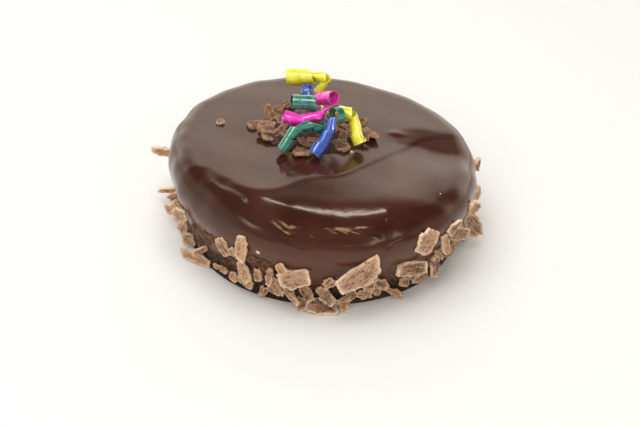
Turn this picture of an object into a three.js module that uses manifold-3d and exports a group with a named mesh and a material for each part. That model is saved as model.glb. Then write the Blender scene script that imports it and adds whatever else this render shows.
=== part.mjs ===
// A flourless chocolate cake: a round cake under a poured chocolate glaze that bulges over its foot,
// chocolate flakes pressed round the foot, a low heap of shavings on top and four curled ribbons.
// Millimetres, +Z up. The cake stands on z = 0 about the Z axis, with its front towards -Y.
// Azimuths are in degrees from the front, positive towards +X.

import * as THREE from 'three';
import { mergeVertices } from 'three/addons/utils/BufferGeometryUtils.js';
import Module from 'manifold-3d';

const wasm = await Module();
wasm.setup();

// Driving dimensions of the glazed cake
const CAKE_RADIUS = 76.5;
const CAKE_HEIGHT = 46;
const FOOT_RADIUS = 69;
const BELLY_HEIGHT = 32.5;
const BELLY_SHARPNESS = 1.2;
const RIM_WIDTH = 10.5;
const RIM_POWER = 2.2;
const TOP_TILT_X = -0.045;
const TOP_TILT_Y = -0.045;

// Waves round the outline: how many, how high as a share of the radius, and their phase
const OUTLINE_WAVES = [[2, 0.005, 0.6], [3, 0.004, 2.1], [5, 0.003, 4.0]];

// Towards the front rim the top falls away: the azimuths between which it does, with a run-in at both ends,
// the radius where the fall starts at the first and at the last of them, and how fast it bends down
const FRONT_FALL = { from: -36, to: 95, runIn: 20, firstRadius: 46, lastRadius: 63, bend: 0.026 };

// Facets of the cake
const ROUND_STEPS = 64;
const SIDE_STEPS = 7;
const RIM_STEPS = 6;
const TOP_STEPS = 4;

// Flakes and shavings
const FLAKE_THICKNESS = [1.6, 2.4];
const FLAKE_EMBED = 0.9;
const FLAKE_CORNERS = [35, 90, 145, 215, 270, 325];
const CORNER_SWAY = 14;
const CORNER_REACH = [0.85, 1.1];
const CORNER_SQUARENESS = 0.7;
const FLAKE_SEED = 20;

// Heap of shavings on the top
const HEAP_CENTRE = [-6, 10];
const HEAP_CORE = { length: 54, width: 42, height: 2.8 };
const HEAP_SEED = 77;
const HEAP_GAP = 0.3;

// Curled ribbons
const RIBBON_WIDTH = 6.2;
const RIBBON_THICKNESS = 0.45;
const RIBBON_PITCH = 6.8;
const RIBBON_SHINGLE = 0.15;
const RIBBON_PINCH_RADIUS = 1.6;
const RIBBON_PINCH_WIDTH = 0.45;
const RIBBON_STEPS_PER_TURN = 10;
const RIBBON_CLEARANCE = 0.4;

// Flakes that stand out at the front and sides, placed by hand:
// azimuth, height of the middle, length, width, turn in its own plane, lean outwards, swing sideways
const FRONT_FLAKES = [
  [14, 24, 28, 11.5, 28, -14, 0], [4, 16.5, 6.5, 5.5, 40, -8, 0], [-8, 20, 17, 10, 15, -18, 0],
  [-13, 24, 7, 5, -58, -5, 0], [-17.5, 18, 10, 3.5, 88, -10, 0], [-11.5, 11.6, 23, 3, -30, -15, -12],
  [-10, 6.5, 8, 3, -45, -25, 0], [-16, 8, 9, 5, -14, -25, 0], [-22, 4.5, 5.5, 2.5, 85, -15, 0],
  [-20.5, 4.2, 5, 2.2, 78, -15, 0], [-4, 9.7, 10, 4.5, -40, -20, -20], [3, 9, 12.5, 5.5, -36, -20, -22],
  [2, 2.4, 16, 11, -8, -66, 0], [-6, 2, 5, 8, 15, -55, 0], [10, 1.8, 5, 8, -20, -60, 0],
  [11, 6.2, 11.5, 3.5, 12, -25, 15], [18, 6.3, 8, 5, -7, -30, 0], [23, 6.8, 5, 4.8, 26, -20, 0],
  [19, 12, 7, 6, 14, -12, 0], [24, 11.8, 9, 4.8, -42, -8, 0], [30, 4, 11, 3.4, -28, -30, -15],
  [34.6, 18.7, 20, 8.4, -14, -10, 0], [40, 32, 13, 13, -20, -4, 0], [35, 7.5, 5.5, 5, -10, -20, 0],
  [39, 9.4, 6.5, 5, -34, 0, 0], [43, 5.2, 11.5, 5, -3, -30, 0], [48.5, 10, 12, 6.5, 68, -22, 0],
  [50, 16.7, 9, 2.6, -51, 0, -10], [50, 16.5, 8, 2.6, 40, 0, 0], [50, 24, 12, 5, -81, -10, 0],
  [66, 6, 11, 3, 60, -15, -45], [69, 5, 11, 3, 60, -15, -50], [60, 22.5, 13, 7.5, -20, 0, -20],
  [78, 12, 17, 9, -66, -15, -50], [54, 31, 10.5, 5, 24, 0, -10], [72, 28, 11, 8, -55, 10, -25],
  [100, 28, 10, 7, -50, 0, -35], [-36, 26.5, 12, 6, -54, -4, 6], [-28, 31, 15, 6.5, -88, -6, 0],
  [-28, 15.5, 13, 6, -53, -12, 0], [-23, 14.5, 6.5, 4.5, -85, -5, 0], [-35, 5.8, 5.5, 5, -83, -20, 0],
  [-29, 6.5, 10, 4.8, -12, -28, 0], [-32, 26, 4.5, 2.6, -74, 0, 0], [-42, 6, 10, 3, 5, -30, 0],
  [-52, 11, 8.5, 2.6, 12, 0, 72], [-56, 3.2, 23, 5, -4, -15, 28], [-67, 4, 7.5, 7.5, 20, -10, 45],
  [-75, 5, 8, 5, 50, 0, 45], [-62, 25, 8, 8, 25, 0, 42], [-84, 8, 12, 8.5, 20, 0, 60],
  [-78, 17, 4, 3, 0, 0, 30], [-94, 7, 12, 4.5, 30, 0, 72], [-97, 8, 20, 3, 16, 0, 76],
  [-104, 24, 18, 5, 2, 0, 86],
];

// Rows of flakes that carry on round the sides and back, worked out by a rule
const BACK_FROM = 84;
const BACK_TO = 252;
const BACK_ROWS = [
  { height: 4, step: 9, length: [8, 16], width: [3.5, 6] },
  { height: 12, step: 13, length: [7, 14], width: [4, 7] },
  { height: 21, step: 18, length: [6, 12], width: [4.5, 8] },
];
const BACK_LEAN = [-36, 2];
const BACK_SWAY = { azimuth: 3, height: 2, turn: 70, swing: 30 };

// One chip that lies apart on the top, and the shavings of the heap:
// x, y, lift of the middle above the top, length, width, turn, pitch, roll
const TOP_CHIP = [-52, 12, 0.6, 4.4, 3.6, 30, 0, 4];
const HEAP_SHAVINGS = [
  [-35, 11, 1.0, 7, 5, 20, 6, 8], [-29, 11, 2.0, 11, 5, -12, -6, 14], [-28, 21, 2.4, 12, 4.5, -58, 14, 24],
  [-24, 27, 2.2, 8, 4, 20, -12, 20], [-28, 5.5, 2.2, 11, 4, -35, 4, -20], [-27, 0, 1.4, 8, 7, 10, 5, -6],
  [-21.5, 4, 2.4, 16, 5, 62, -8, 24], [-11, -12, 1.6, 9, 8, 30, 6, -10], [-10, -4, 1.8, 8, 4.5, -40, 8, 18],
  [8, -3, 1.6, 10, 9, 15, -4, 8], [9, 12, 2.4, 10, 6, -20, 8, 16], [22, 11, 1.6, 14, 5.5, -58, 4, -14],
  [-19, 34, 1.6, 7, 5, 40, 6, 10], [4, 25, 2.8, 9, 5, 30, -14, 20], [-17, 13, 2.6, 9, 5, 80, 10, -16],
  [17, 20, 1.8, 11, 5, 24, -6, 12], [-6, 31, 2.0, 12, 5, -14, 8, 10], [6, 33, 1.5, 8, 5, 50, 6, -8],
  [13, 4, 1.4, 8, 5, 70, 0, 10], [-3, 1, 1.6, 9, 5, 20, 6, 12],
];

// Shavings that fill the heap between those, worked out by a rule: ring radius and how many
const HEAP_RINGS = [[7, 4], [13, 6], [18, 6]];
const HEAP_STRETCH = 1.35;
const HEAP_LENGTH = [8, 12];
const HEAP_WIDTH = [3.5, 5.5];

// Ribbons from one curled end through the tie to the other: x, y, z and the curl's radius.
// Where a ribbon has more lists, they are its loose curls and the twists that join them.
const RIBBONS = {
  ribbon_yellow: {
    colour: 0xe6dc2e,
    arms: [
      [[-20.2, 27.9, 66.6, 4.1], [-16.5, 27.9, 66.8, 4.1], [-12.5, 28, 66.8, 4], [-9, 28, 66.9, 3.3],
        [-6.3, 28.7, 67, 2.4], [-3.1, 28.6, 66.9, 2.5], [-1.2, 27.6, 65.2, 2.4], [-2.8, 27, 61.9, 2.1],
        [-4.6, 26, 58.5, 1.7], [-2.8, 21.5, 55.4, 0.6], [1, 12.5, 56, 0.6], [5, 8, 58.4, 0.6],
        [6.8, 7.2, 60, 0.8], [8.8, 5.4, 61.2, 2.7], [10.8, 4.1, 61.4, 2.9], [12.7, 3.1, 60.6, 2.6],
        [13.9, 2.1, 58.8, 2.5], [14.9, 0.2, 56, 2.6], [15.9, -2.2, 52.7, 2.8], [17.6, -4.2, 49.6, 3.4]],
    ],
  },
  ribbon_magenta: {
    colour: 0xd8269a,
    arms: [
      [[-3.7, 15.6, 62.2, 3.3], [-0.2, 12.4, 64.5, 3.3], [3.7, 8.7, 67.1, 3.3]],
      [[1.9, 10.4, 62.8, 0.6], [1.6, 7, 63.2, 0.6], [0.4, 3.7, 64.6, 0.7], [-0.9, 1.9, 63.2, 1.1],
        [-2.5, 0.9, 61.8, 2], [-7.2, 0.2, 60.5, 2.3], [-11, -0.6, 59.7, 2.8], [-15, -0.9, 59.9, 3],
        [-17.8, -1.1, 60.8, 3], [-20.2, -1.2, 61.6, 3]],
    ],
  },
  ribbon_teal: {
    colour: 0x1f8a6a,
    arms: [
      [[-20.2, -13.8, 50, 2.9], [-17.8, -11.8, 53.2, 2.9], [-15, -9.4, 57.2, 2.8], [-11.2, -7.7, 59.1, 2.3],
        [-7.8, -6.8, 59.9, 2], [-4.1, -6, 58.2, 2.3], [-1.2, -4.4, 57.3, 1.9], [2.1, -2.6, 57, 0.7],
        [3.8, -0.6, 57, 0.6], [5.6, 0.6, 57.9, 0.6]],
      [[4.2, -0.5, 62.2, 4.2], [5.7, 0.6, 62, 4.2], [7.2, 1.7, 61.8, 4.2]],
      [[-16.8, 4.6, 66.4, 3.5], [-13.1, 5.2, 66, 3.5], [-9.2, 5.6, 65.8, 3.5], [-5, 5.6, 65.8, 3.4]],
      [[-6.5, 5.5, 62.9, 0.6], [-4.6, 5.3, 60.5, 0.6], [-3, 5, 59, 0.6], [-1, 1.4, 56.8, 0.6],
        [2.1, -2.6, 57, 0.6]],
    ],
  },
  ribbon_blue: {
    colour: 0x2450b4,
    arms: [
      [[-4.3, -16.2, 50, 3.5], [-2.4, -14.4, 52.4, 3.5], [-0.6, -12.5, 54.3, 3.2], [0.8, -10.9, 56.4, 2.6],
        [2.2, -8.7, 59.2, 2.4], [3.3, -6.4, 62, 2.2], [3, -4.4, 62.4, 0.9], [0.5, -1.8, 61.2, 0.6],
        [0, 2.8, 59.6, 0.6], [-1.5, 9.4, 58.4, 0.6], [-4.9, 15.2, 57, 0.6], [-8.4, 16.4, 57.8, 1],
        [-9.3, 17.4, 60.2, 2.9], [-9.4, 19.6, 62.4, 3.1], [-9.4, 22.6, 64.4, 3.1]],
    ],
  },
};

const COLOUR_GLAZE = 0x3a1d16;
const COLOUR_SHAVINGS = 0x8a5f4a;

// Seeded random draws, the same on every run
let drawState = 0;
function draw(low, high) {
  drawState = (drawState * 1664525 + 1013904223) % 4294967296;
  return low + (high - low) * drawState / 4294967296;
}

// A closed geometry as a solid that can be joined and cut
function toSolid(geometry) {
  const bare = geometry.clone();
  bare.deleteAttribute('normal');
  bare.deleteAttribute('uv');
  const merged = mergeVertices(bare, 1e-4);
  const index = merged.index.array;
  const triangles = [];
  for (let i = 0; i < index.length; i += 3) {
    const [a, b, c] = index.slice(i, i + 3);
    if (a !== b && b !== c && c !== a) triangles.push(a, b, c);
  }
  return new wasm.Manifold(new wasm.Mesh({
    numProp: 3,
    vertProperties: new Float32Array(merged.attributes.position.array),
    triVerts: new Uint32Array(triangles),
  }));
}

function toGeometry(solid) {
  const mesh = solid.getMesh();
  const geometry = new THREE.BufferGeometry();
  geometry.setAttribute('position', new THREE.BufferAttribute(mesh.vertProperties, 3));
  geometry.setIndex(new THREE.BufferAttribute(mesh.triVerts, 1));
  geometry.computeVertexNormals();
  return geometry;
}

// The largest body of a solid, so that no loose scrap stays
function largestBody(solid) {
  const bodies = solid.decompose();
  return bodies.reduce((best, body) => (body.volume() > best.volume() ? body : best));
}

// Radius of the cake's side at a height, before the waves
function sideRadius(height) {
  const share = Math.min(Math.max(height / BELLY_HEIGHT, 0), 1) ** BELLY_SHARPNESS;
  return FOOT_RADIUS + (CAKE_RADIUS - FOOT_RADIUS) * share * share * (3 - 2 * share);
}

function outlineFactor(angle) {
  return OUTLINE_WAVES.reduce(
    (sum, [count, size, phase]) => sum + size * Math.sin(count * angle + phase),
    1,
  );
}

function topHeight(x, y) {
  return CAKE_HEIGHT + TOP_TILT_X * x + TOP_TILT_Y * y;
}

// Half section of the cake from the middle of its base to the middle of its top
function cakeProfile() {
  const points = [new THREE.Vector2(0, 0)];
  for (let i = 0; i <= SIDE_STEPS; i += 1) {
    const height = BELLY_HEIGHT * i / SIDE_STEPS;
    points.push(new THREE.Vector2(sideRadius(height), height));
  }
  for (let i = 1; i <= RIM_STEPS; i += 1) {
    const angle = 0.5 * Math.PI * i / RIM_STEPS;
    const inward = 1 - Math.max(Math.cos(angle), 0) ** (2 / RIM_POWER);
    const upward = Math.sin(angle) ** (2 / RIM_POWER);
    points.push(new THREE.Vector2(
      CAKE_RADIUS - RIM_WIDTH * inward,
      BELLY_HEIGHT + (CAKE_HEIGHT - BELLY_HEIGHT) * upward,
    ));
  }
  for (let i = TOP_STEPS - 1; i >= 0; i -= 1) {
    points.push(new THREE.Vector2((CAKE_RADIUS - RIM_WIDTH) * i / TOP_STEPS, CAKE_HEIGHT));
  }
  return points;
}

// How far the top has fallen at an azimuth and a radius
function frontFall(azimuth, radius) {
  const { from, to, runIn, firstRadius, lastRadius, bend } = FRONT_FALL;
  const { smoothstep, mapLinear } = THREE.MathUtils;
  const start = mapLinear(azimuth, from, to, firstRadius, lastRadius);
  const ahead = Math.max(Math.min(radius, CAKE_RADIUS - RIM_WIDTH) - start, 0);
  const share = smoothstep(azimuth, from, from + runIn) * (1 - smoothstep(azimuth, to - runIn, to));
  return 0.5 * share * bend * ahead * ahead;
}

// The glazed cake: the revolved profile with its wavy outline, its tilted top and the fall towards the front
function cakeGeometry() {
  const geometry = new THREE.LatheGeometry(cakeProfile(), ROUND_STEPS);
  geometry.rotateX(Math.PI / 2);
  const position = geometry.attributes.position;
  for (let i = 0; i < position.count; i += 1) {
    const angle = Math.atan2(position.getX(i), -position.getY(i));
    const fall = frontFall(THREE.MathUtils.radToDeg(angle), Math.hypot(position.getX(i), position.getY(i)));
    const factor = outlineFactor(angle);
    const x = position.getX(i) * factor;
    const y = position.getY(i) * factor;
    const z = position.getZ(i);
    const onTop = THREE.MathUtils.smoothstep(z, BELLY_HEIGHT, CAKE_HEIGHT);
    position.setXYZ(i, x, y, z * topHeight(x, y) / CAKE_HEIGHT - fall * onTop);
  }
  return geometry;
}

// A flat flake with six uneven corners, its length along X, its width along Y and its middle at the origin
function flakeGeometry(length, width) {
  const thickness = draw(...FLAKE_THICKNESS);
  const corners = FLAKE_CORNERS.map((corner) => {
    const angle = THREE.MathUtils.degToRad(corner + draw(-CORNER_SWAY, CORNER_SWAY));
    const reach = draw(...CORNER_REACH);
    const spread = (value) => Math.sign(value) * Math.abs(value) ** CORNER_SQUARENESS;
    return new THREE.Vector2(
      0.5 * length * reach * spread(Math.cos(angle)),
      0.5 * width * reach * spread(Math.sin(angle)),
    );
  });
  const options = { depth: thickness, bevelEnabled: false };
  const geometry = new THREE.ExtrudeGeometry(new THREE.Shape(corners), options);
  return geometry.translate(0, 0, -thickness / 2);
}

function turned(geometry, pitch, swing, turn) {
  const angles = [pitch, swing, turn].map(THREE.MathUtils.degToRad);
  return geometry.applyMatrix4(new THREE.Matrix4().makeRotationFromEuler(new THREE.Euler(...angles, 'YXZ')));
}

// A flake on the cake's side, moved in or out until its deepest corner is sunk in the cake
function sideFlake([azimuth, height, length, width, turn, lean, swing]) {
  const angle = THREE.MathUtils.degToRad(azimuth);
  const outward = new THREE.Vector3(Math.sin(angle), -Math.cos(angle), 0);
  const along = new THREE.Vector3(Math.cos(angle), Math.sin(angle), 0);
  const up = new THREE.Vector3(0, 0, 1);
  const geometry = turned(flakeGeometry(length, width), lean, swing, turn);
  geometry.applyMatrix4(new THREE.Matrix4().makeBasis(along, up, outward));
  geometry.translate(CAKE_RADIUS * outward.x, CAKE_RADIUS * outward.y, height);
  const position = geometry.attributes.position;
  let gap = Infinity;
  for (let i = 0; i < position.count; i += 1) {
    const [x, y, z] = [position.getX(i), position.getY(i), position.getZ(i)];
    gap = Math.min(gap, Math.hypot(x, y) - sideRadius(z) * outlineFactor(Math.atan2(x, -y)));
  }
  const shift = -FLAKE_EMBED - gap;
  return geometry.translate(shift * outward.x, shift * outward.y, 0);
}

// Rows of flakes round the sides and back
function backFlakes() {
  const rows = [];
  for (const row of BACK_ROWS) {
    for (let azimuth = BACK_FROM; azimuth < BACK_TO; azimuth += row.step) {
      rows.push([
        azimuth + draw(-BACK_SWAY.azimuth, BACK_SWAY.azimuth),
        row.height + draw(-BACK_SWAY.height, BACK_SWAY.height),
        draw(...row.length),
        draw(...row.width),
        draw(-BACK_SWAY.turn, BACK_SWAY.turn),
        draw(...BACK_LEAN),
        draw(-BACK_SWAY.swing, BACK_SWAY.swing),
      ]);
    }
  }
  return rows;
}

// A shaving that lies on the top, lifted by the layers below it
function topShaving([x, y, lift, length, width, turn, pitch, roll]) {
  const geometry = turned(flakeGeometry(length, width), roll, pitch, turn);
  return geometry.translate(x, y, topHeight(x, y) + lift);
}

// Cake with the flakes and the chip fused on, flat underneath
function cakeSolid() {
  drawState = FLAKE_SEED;
  let solid = toSolid(cakeGeometry());
  for (const row of [...FRONT_FLAKES, ...backFlakes()]) solid = solid.add(toSolid(sideFlake(row)));
  solid = solid.add(toSolid(topShaving(TOP_CHIP)));
  const depth = CAKE_HEIGHT;
  const below = new THREE.BoxGeometry(4 * CAKE_RADIUS, 4 * CAKE_RADIUS, depth).translate(0, 0, -depth / 2);
  return largestBody(solid.subtract(toSolid(below)));
}

// A path that curls round a spine, with frames that lay a strip's width along the spine.
// Where the curl is pinched towards the tie, the strip is twisted narrower.
class CurlPath extends THREE.Curve {
  constructor(stations) {
    super();
    const points = stations.map(([x, y, z]) => new THREE.Vector3(x, y, z));
    this.radii = stations.map((station) => station[3]);
    this.spine = new THREE.CatmullRomCurve3(points, false, 'catmullrom', 0.5);
    this.turns = this.spine.getLength() / RIBBON_PITCH;
    this.steps = Math.ceil(this.turns * RIBBON_STEPS_PER_TURN);
    this.frames = this.spine.computeFrenetFrames(this.steps);
  }

  radiusAt(share) {
    const place = this.spine.getUtoTmapping(share) * (this.radii.length - 1);
    const before = Math.min(Math.floor(place), this.radii.length - 2);
    return THREE.MathUtils.lerp(this.radii[before], this.radii[before + 1], place - before);
  }

  radial(step) {
    const angle = 2 * Math.PI * this.turns * step / this.steps;
    const cosine = this.frames.normals[step].clone().multiplyScalar(Math.cos(angle));
    return cosine.addScaledVector(this.frames.binormals[step], Math.sin(angle));
  }

  getSpacedPoints(steps) {
    const points = [];
    for (let step = 0; step <= steps; step += 1) {
      const share = step / steps;
      points.push(this.spine.getPointAt(share).addScaledVector(this.radial(step), this.radiusAt(share)));
    }
    return points;
  }

  computeFrenetFrames(steps) {
    const frames = { tangents: this.frames.tangents, normals: [], binormals: [] };
    for (let step = 0; step <= steps; step += 1) {
      const radial = this.radial(step);
      const tangent = this.frames.tangents[step];
      const pinch = Math.min(this.radiusAt(step / steps) / RIBBON_PINCH_RADIUS, 1);
      const shingle = RIBBON_SHINGLE * pinch;
      const across = tangent.clone().addScaledVector(radial, shingle).normalize();
      frames.normals.push(radial.clone().addScaledVector(tangent, -shingle).normalize());
      frames.binormals.push(across.multiplyScalar(-Math.max(pinch, RIBBON_PINCH_WIDTH)));
    }
    return frames;
  }
}

// A block that cuts an arm square at a curled end
function endCutter([x, y, z, radius], outward, clearance) {
  const length = 2 * RIBBON_WIDTH;
  const cutter = new THREE.CylinderGeometry(2 * radius, 2 * radius, length, 12);
  cutter.translate(0, length / 2 + clearance, 0);
  cutter.applyQuaternion(new THREE.Quaternion().setFromUnitVectors(new THREE.Vector3(0, 1, 0), outward));
  return toSolid(cutter.translate(x, y, z));
}

// One curled arm, or the room round it when a clearance is given. The strip runs on past each curled end
// by half its width and is cut square there, so that the end is a whole ring.
function ribbonArm(stations, clearance = 0) {
  const run = [...stations];
  const cutters = [];
  for (const [end, before] of [[stations[0], stations[1]], [stations.at(-1), stations.at(-2)]]) {
    if (end[3] < RIBBON_PINCH_RADIUS) continue;
    const outward = new THREE.Vector3(...end).sub(new THREE.Vector3(...before)).normalize();
    const beyond = new THREE.Vector3(...end).addScaledVector(outward, RIBBON_WIDTH / 2);
    const station = [...beyond.toArray(), end[3]];
    if (end === stations[0]) run.unshift(station);
    else run.push(station);
    cutters.push(endCutter(end, outward, clearance));
  }
  const path = new CurlPath(run);
  const halfThickness = RIBBON_THICKNESS / 2 + clearance;
  const halfWidth = RIBBON_WIDTH / 2 + clearance;
  const section = new THREE.Shape([
    new THREE.Vector2(-halfThickness, -halfWidth),
    new THREE.Vector2(halfThickness, -halfWidth),
    new THREE.Vector2(halfThickness, halfWidth),
    new THREE.Vector2(-halfThickness, halfWidth),
  ]);
  const options = { steps: path.steps, bevelEnabled: false, extrudePath: path };
  const strip = new THREE.ExtrudeGeometry(section, options);
  return cutters.reduce((arm, cutter) => arm.subtract(cutter), toSolid(strip));
}

function ribbonSolid(arms) {
  const solids = arms.map((stations) => ribbonArm(stations));
  return largestBody(solids.reduce((whole, arm) => whole.add(arm)));
}

// Shavings between the hand-placed ones, in rings that widen along X
function heapFill() {
  const rows = [];
  for (const [radius, count] of HEAP_RINGS) {
    for (let i = 0; i < count; i += 1) {
      const angle = 2 * Math.PI * (i + draw(0.2, 0.8)) / count;
      rows.push([
        HEAP_CENTRE[0] + HEAP_STRETCH * radius * Math.cos(angle),
        HEAP_CENTRE[1] + radius * Math.sin(angle),
        draw(1.4, 3),
        draw(...HEAP_LENGTH),
        draw(...HEAP_WIDTH),
        draw(0, 180),
        draw(-12, 12),
        draw(-20, 20),
      ]);
    }
  }
  return rows;
}

// Low mound under the shavings
function heapCore() {
  const { length, width, height } = HEAP_CORE;
  const core = new THREE.SphereGeometry(1, 20, 8).scale(length / 2, width / 2, height);
  return core.translate(...HEAP_CENTRE, topHeight(...HEAP_CENTRE));
}

// Heap of shavings on the mound: a shaving that would cross a ribbon is skipped
function heapSolid() {
  drawState = HEAP_SEED;
  const rooms = Object.values(RIBBONS).flatMap(({ arms }) => arms)
    .map((stations) => ribbonArm(stations, RIBBON_CLEARANCE));
  let solid = toSolid(heapCore());
  for (const row of [...HEAP_SHAVINGS, ...heapFill()]) {
    const shaving = toSolid(topShaving(row));
    if (rooms.every((room) => shaving.intersect(room).volume() === 0)) solid = solid.add(shaving);
  }
  const raisedCake = toSolid(cakeGeometry().translate(0, 0, HEAP_GAP));
  return largestBody(solid.subtract(raisedCake));
}

function node(name, solid, colour, roughness, metalness) {
  const material = new THREE.MeshStandardMaterial({ color: colour, roughness, metalness });
  const mesh = new THREE.Mesh(toGeometry(solid), material);
  mesh.name = name;
  return mesh;
}

const cake = new THREE.Group();
cake.add(node('cake', cakeSolid(), COLOUR_GLAZE, 0.2, 0));
cake.add(node('shavings', heapSolid(), COLOUR_SHAVINGS, 0.75, 0));
for (const [name, { colour, arms }] of Object.entries(RIBBONS)) {
  cake.add(node(name, ribbonSolid(arms), colour, 0.25, 0.3));
}

export default cake;
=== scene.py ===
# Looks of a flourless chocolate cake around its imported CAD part.
# Sizes are in millimetres until a mesh is made, then in metres. The cake stands on z = 0 about the Z axis,
# its front towards -Y. Azimuths are in degrees from the front, positive towards +X.

import math

import bpy
import numpy as np
from mathutils import Matrix, Vector
from mathutils.bvhtree import BVHTree


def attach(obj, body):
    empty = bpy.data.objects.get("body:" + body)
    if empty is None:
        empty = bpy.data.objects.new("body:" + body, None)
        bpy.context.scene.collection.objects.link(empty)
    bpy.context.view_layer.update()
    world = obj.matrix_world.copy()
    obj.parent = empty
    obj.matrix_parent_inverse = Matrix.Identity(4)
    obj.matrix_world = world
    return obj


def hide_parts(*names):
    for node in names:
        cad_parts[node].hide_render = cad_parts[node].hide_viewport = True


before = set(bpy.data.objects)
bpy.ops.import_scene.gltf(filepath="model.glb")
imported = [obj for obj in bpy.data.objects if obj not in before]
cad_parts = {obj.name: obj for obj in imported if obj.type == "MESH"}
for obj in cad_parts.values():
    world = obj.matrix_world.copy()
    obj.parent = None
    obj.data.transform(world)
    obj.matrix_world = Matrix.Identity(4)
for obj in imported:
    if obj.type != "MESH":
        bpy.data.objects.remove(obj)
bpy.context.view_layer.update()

MM = 0.001
BODY = "root"

# Camera: the photograph's frame, and the point on the floor plane that it is centred on
PHOTO_WIDTH_PX = 640
FOCAL_PX = 1530
SENSOR_WIDTH = 36
CAMERA_PITCH = 35.34
CAMERA_ROLL = 2.45
CAMERA_DISTANCE = 783
CAMERA_AIM = (-0.6, 5.35, 0)

# Glazed cake, as in the CAD part
CAKE_RADIUS = 76.5
CAKE_HEIGHT = 46
FOOT_RADIUS = 69
BELLY_HEIGHT = 32.5
BELLY_SHARPNESS = 1.2
RIM_WIDTH = 10.5
RIM_POWER = 2.2
TOP_TILT_X = -0.045
TOP_TILT_Y = -0.045
OUTLINE_WAVES = ((2, 0.005, 0.6), (3, 0.004, 2.1), (5, 0.003, 4.0))
ROUND_STEPS = 560
SIDE_STEPS = 42
RIM_STEPS = 34
TOP_STEPS = 62

# A name with FROM says where something starts to fade in, one with TO where it has faded out, each with the
# length of the fade, and AZIMUTHS says both. DOWN is down from the start of the rim, negative on the top

# Step in the poured glaze that crosses the top: x, y, drop towards the front, width of the slope
GLAZE_STEP = (
    (-74, -33, 1.2, 12), (-60, -29.5, 1.4, 13), (-53.7, -30, 1.4, 13), (-49.5, -34, 1.2, 12),
    (-46, -36.8, 0.8, 10), (-42.6, -38.9, 0.5, 9), (-38.6, -42.8, 0.22, 7), (-33.8, -44.7, 0.06, 5),
    (-27, -45, 0.02, 4), (-15, -38.5, 0.02, 4), (-3.8, -30.2, 0.1, 4), (8, -27.6, 0.26, 3.2),
    (17.7, -18.6, 0.3, 2.6), (30, -6.2, 0.28, 2.4), (39.5, 5, 0.34, 2.8), (45, 12, 0.26, 3),
    (52, 17, 0.16, 4), (62, 20, 0.06, 5), (82, 22, 0.02, 5),
)
STEP_TO_DOWN = (22, 20)
# Hollow in the glaze on the right: x, y, depth, width of its back slope. Then how far its front takes to rise
HOLLOW = (
    (28, 15, 0, 8), (33, 18.6, 0.35, 10), (37, 21.4, 0.95, 13), (44, 24.5, 1.7, 18), (51.6, 25, 2.2, 22),
    (59, 23.6, 2.4, 23), (66, 23.2, 2.4, 23), (80, 24, 2.4, 23),
)
HOLLOW_RISE = 48
# Crease that runs along the step: x, y and how steeply the top falls from there to the front. Then how far
# ahead that fall reaches, and over what length it sets in
CREASE = (
    (-57, -30, 0.14), (-49.5, -34.5, 0.14), (-42.6, -38.9, 0.145), (-38.6, -42.8, 0.145),
    (-33.8, -44.7, 0.145), (-30, -45.1, 0.145), (-24.4, -44.2, 0.138), (-17.6, -40.4, 0.122),
    (-10.8, -34, 0.105), (-3.8, -30.2, 0.088), (3.4, -28.2, 0.07), (8.1, -27.5, 0.058),
    (17.7, -18.6, 0.034), (30, -6.2, 0.006),
)
CREASE_END = 60
CREASE_ONSET = 2.5
# Line along the front where the top falls as steeply as RIM_LINE_SLOPE: x, y and how fast it bends down
# across the line. Then how steep the fall gets, and how far ahead of the line it ends
RIM_FALL_LINE = (
    (-62, -53.6, 0.0092), (-38, -54.3, 0.0092), (-24, -57.2, 0.0092), (-12.7, -56, 0.0095),
    (-1.6, -58.6, 0.0105), (6.7, -59.2, 0.0115), (15, -58.3, 0.0125), (23.3, -57.4, 0.0125),
    (31.7, -54.6, 0.0125), (38, -51.2, 0.0125), (43.7, -46.6, 0.0125), (51.7, -38.8, 0.0125),
    (59.6, -31.4, 0.0125), (67.6, -23.5, 0.0125), (73, -14, 0.0125),
)
RIM_LINE_SLOPE = 0.2
RIM_FALL_SLOPE = 0.28
RIM_FALL_END = 14
FALL_FROM_X = (-54, 24)
FALL_TO_AZIMUTH = (95, 30)
# Edges of drips on the rim and side, raised on the left of their path: azimuth and distance down from the
# start of the rim, with the height of the edge, its width and how far the drip behind it reaches
DRIP_EDGES = (
    {"points": ((-52, -1), (-47.7, 0.3), (-39.4, -2.1), (-33.5, -1), (-31, 2.5), (-30.4, 5.1), (-26.6, 6.9),
                (-21.8, 6.4), (-20.3, 3.6), (-17.2, 4.7), (-14, 6.4), (-8, 8.5)),
     "height": 0.3, "width": 3.0, "reach": 3.4},
    {"points": ((-17, 9.4), (-14.1, 10.9), (-9.5, 13.5), (-5.4, 15.9), (-3, 17)),
     "height": 0.3, "width": 1.6, "reach": 3},
    {"points": ((0.4, 1), (3.7, 2.4), (7, 3.8), (10.5, 5.7)), "height": 0.5, "width": 1.7, "reach": 2},
    {"points": ((11.4, 3.3), (16, 5), (19.9, 6.9), (22.7, 9.2)), "height": 0.55, "width": 1.7, "reach": 2},
    {"points": ((50, 15), (41.8, 14), (35, 12.7), (29.5, 13.3), (25.5, 15.2), (23.4, 19.3), (22.8, 25.6)),
     "height": -0.7, "width": 1.8, "reach": 8},
)
# Steps of its path over which a drip's edge tapers off
DRIP_TAPER = 10
# Burst bubbles: azimuth, distance down, radius and depth
PITS = ((-2, 5, 1.1, 0.8), (26.2, 1, 0.9, 0.5))
DIMPLE = {"x": 36, "y": 16, "length": 4.0, "width": 2.4, "height": 0.38}
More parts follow.
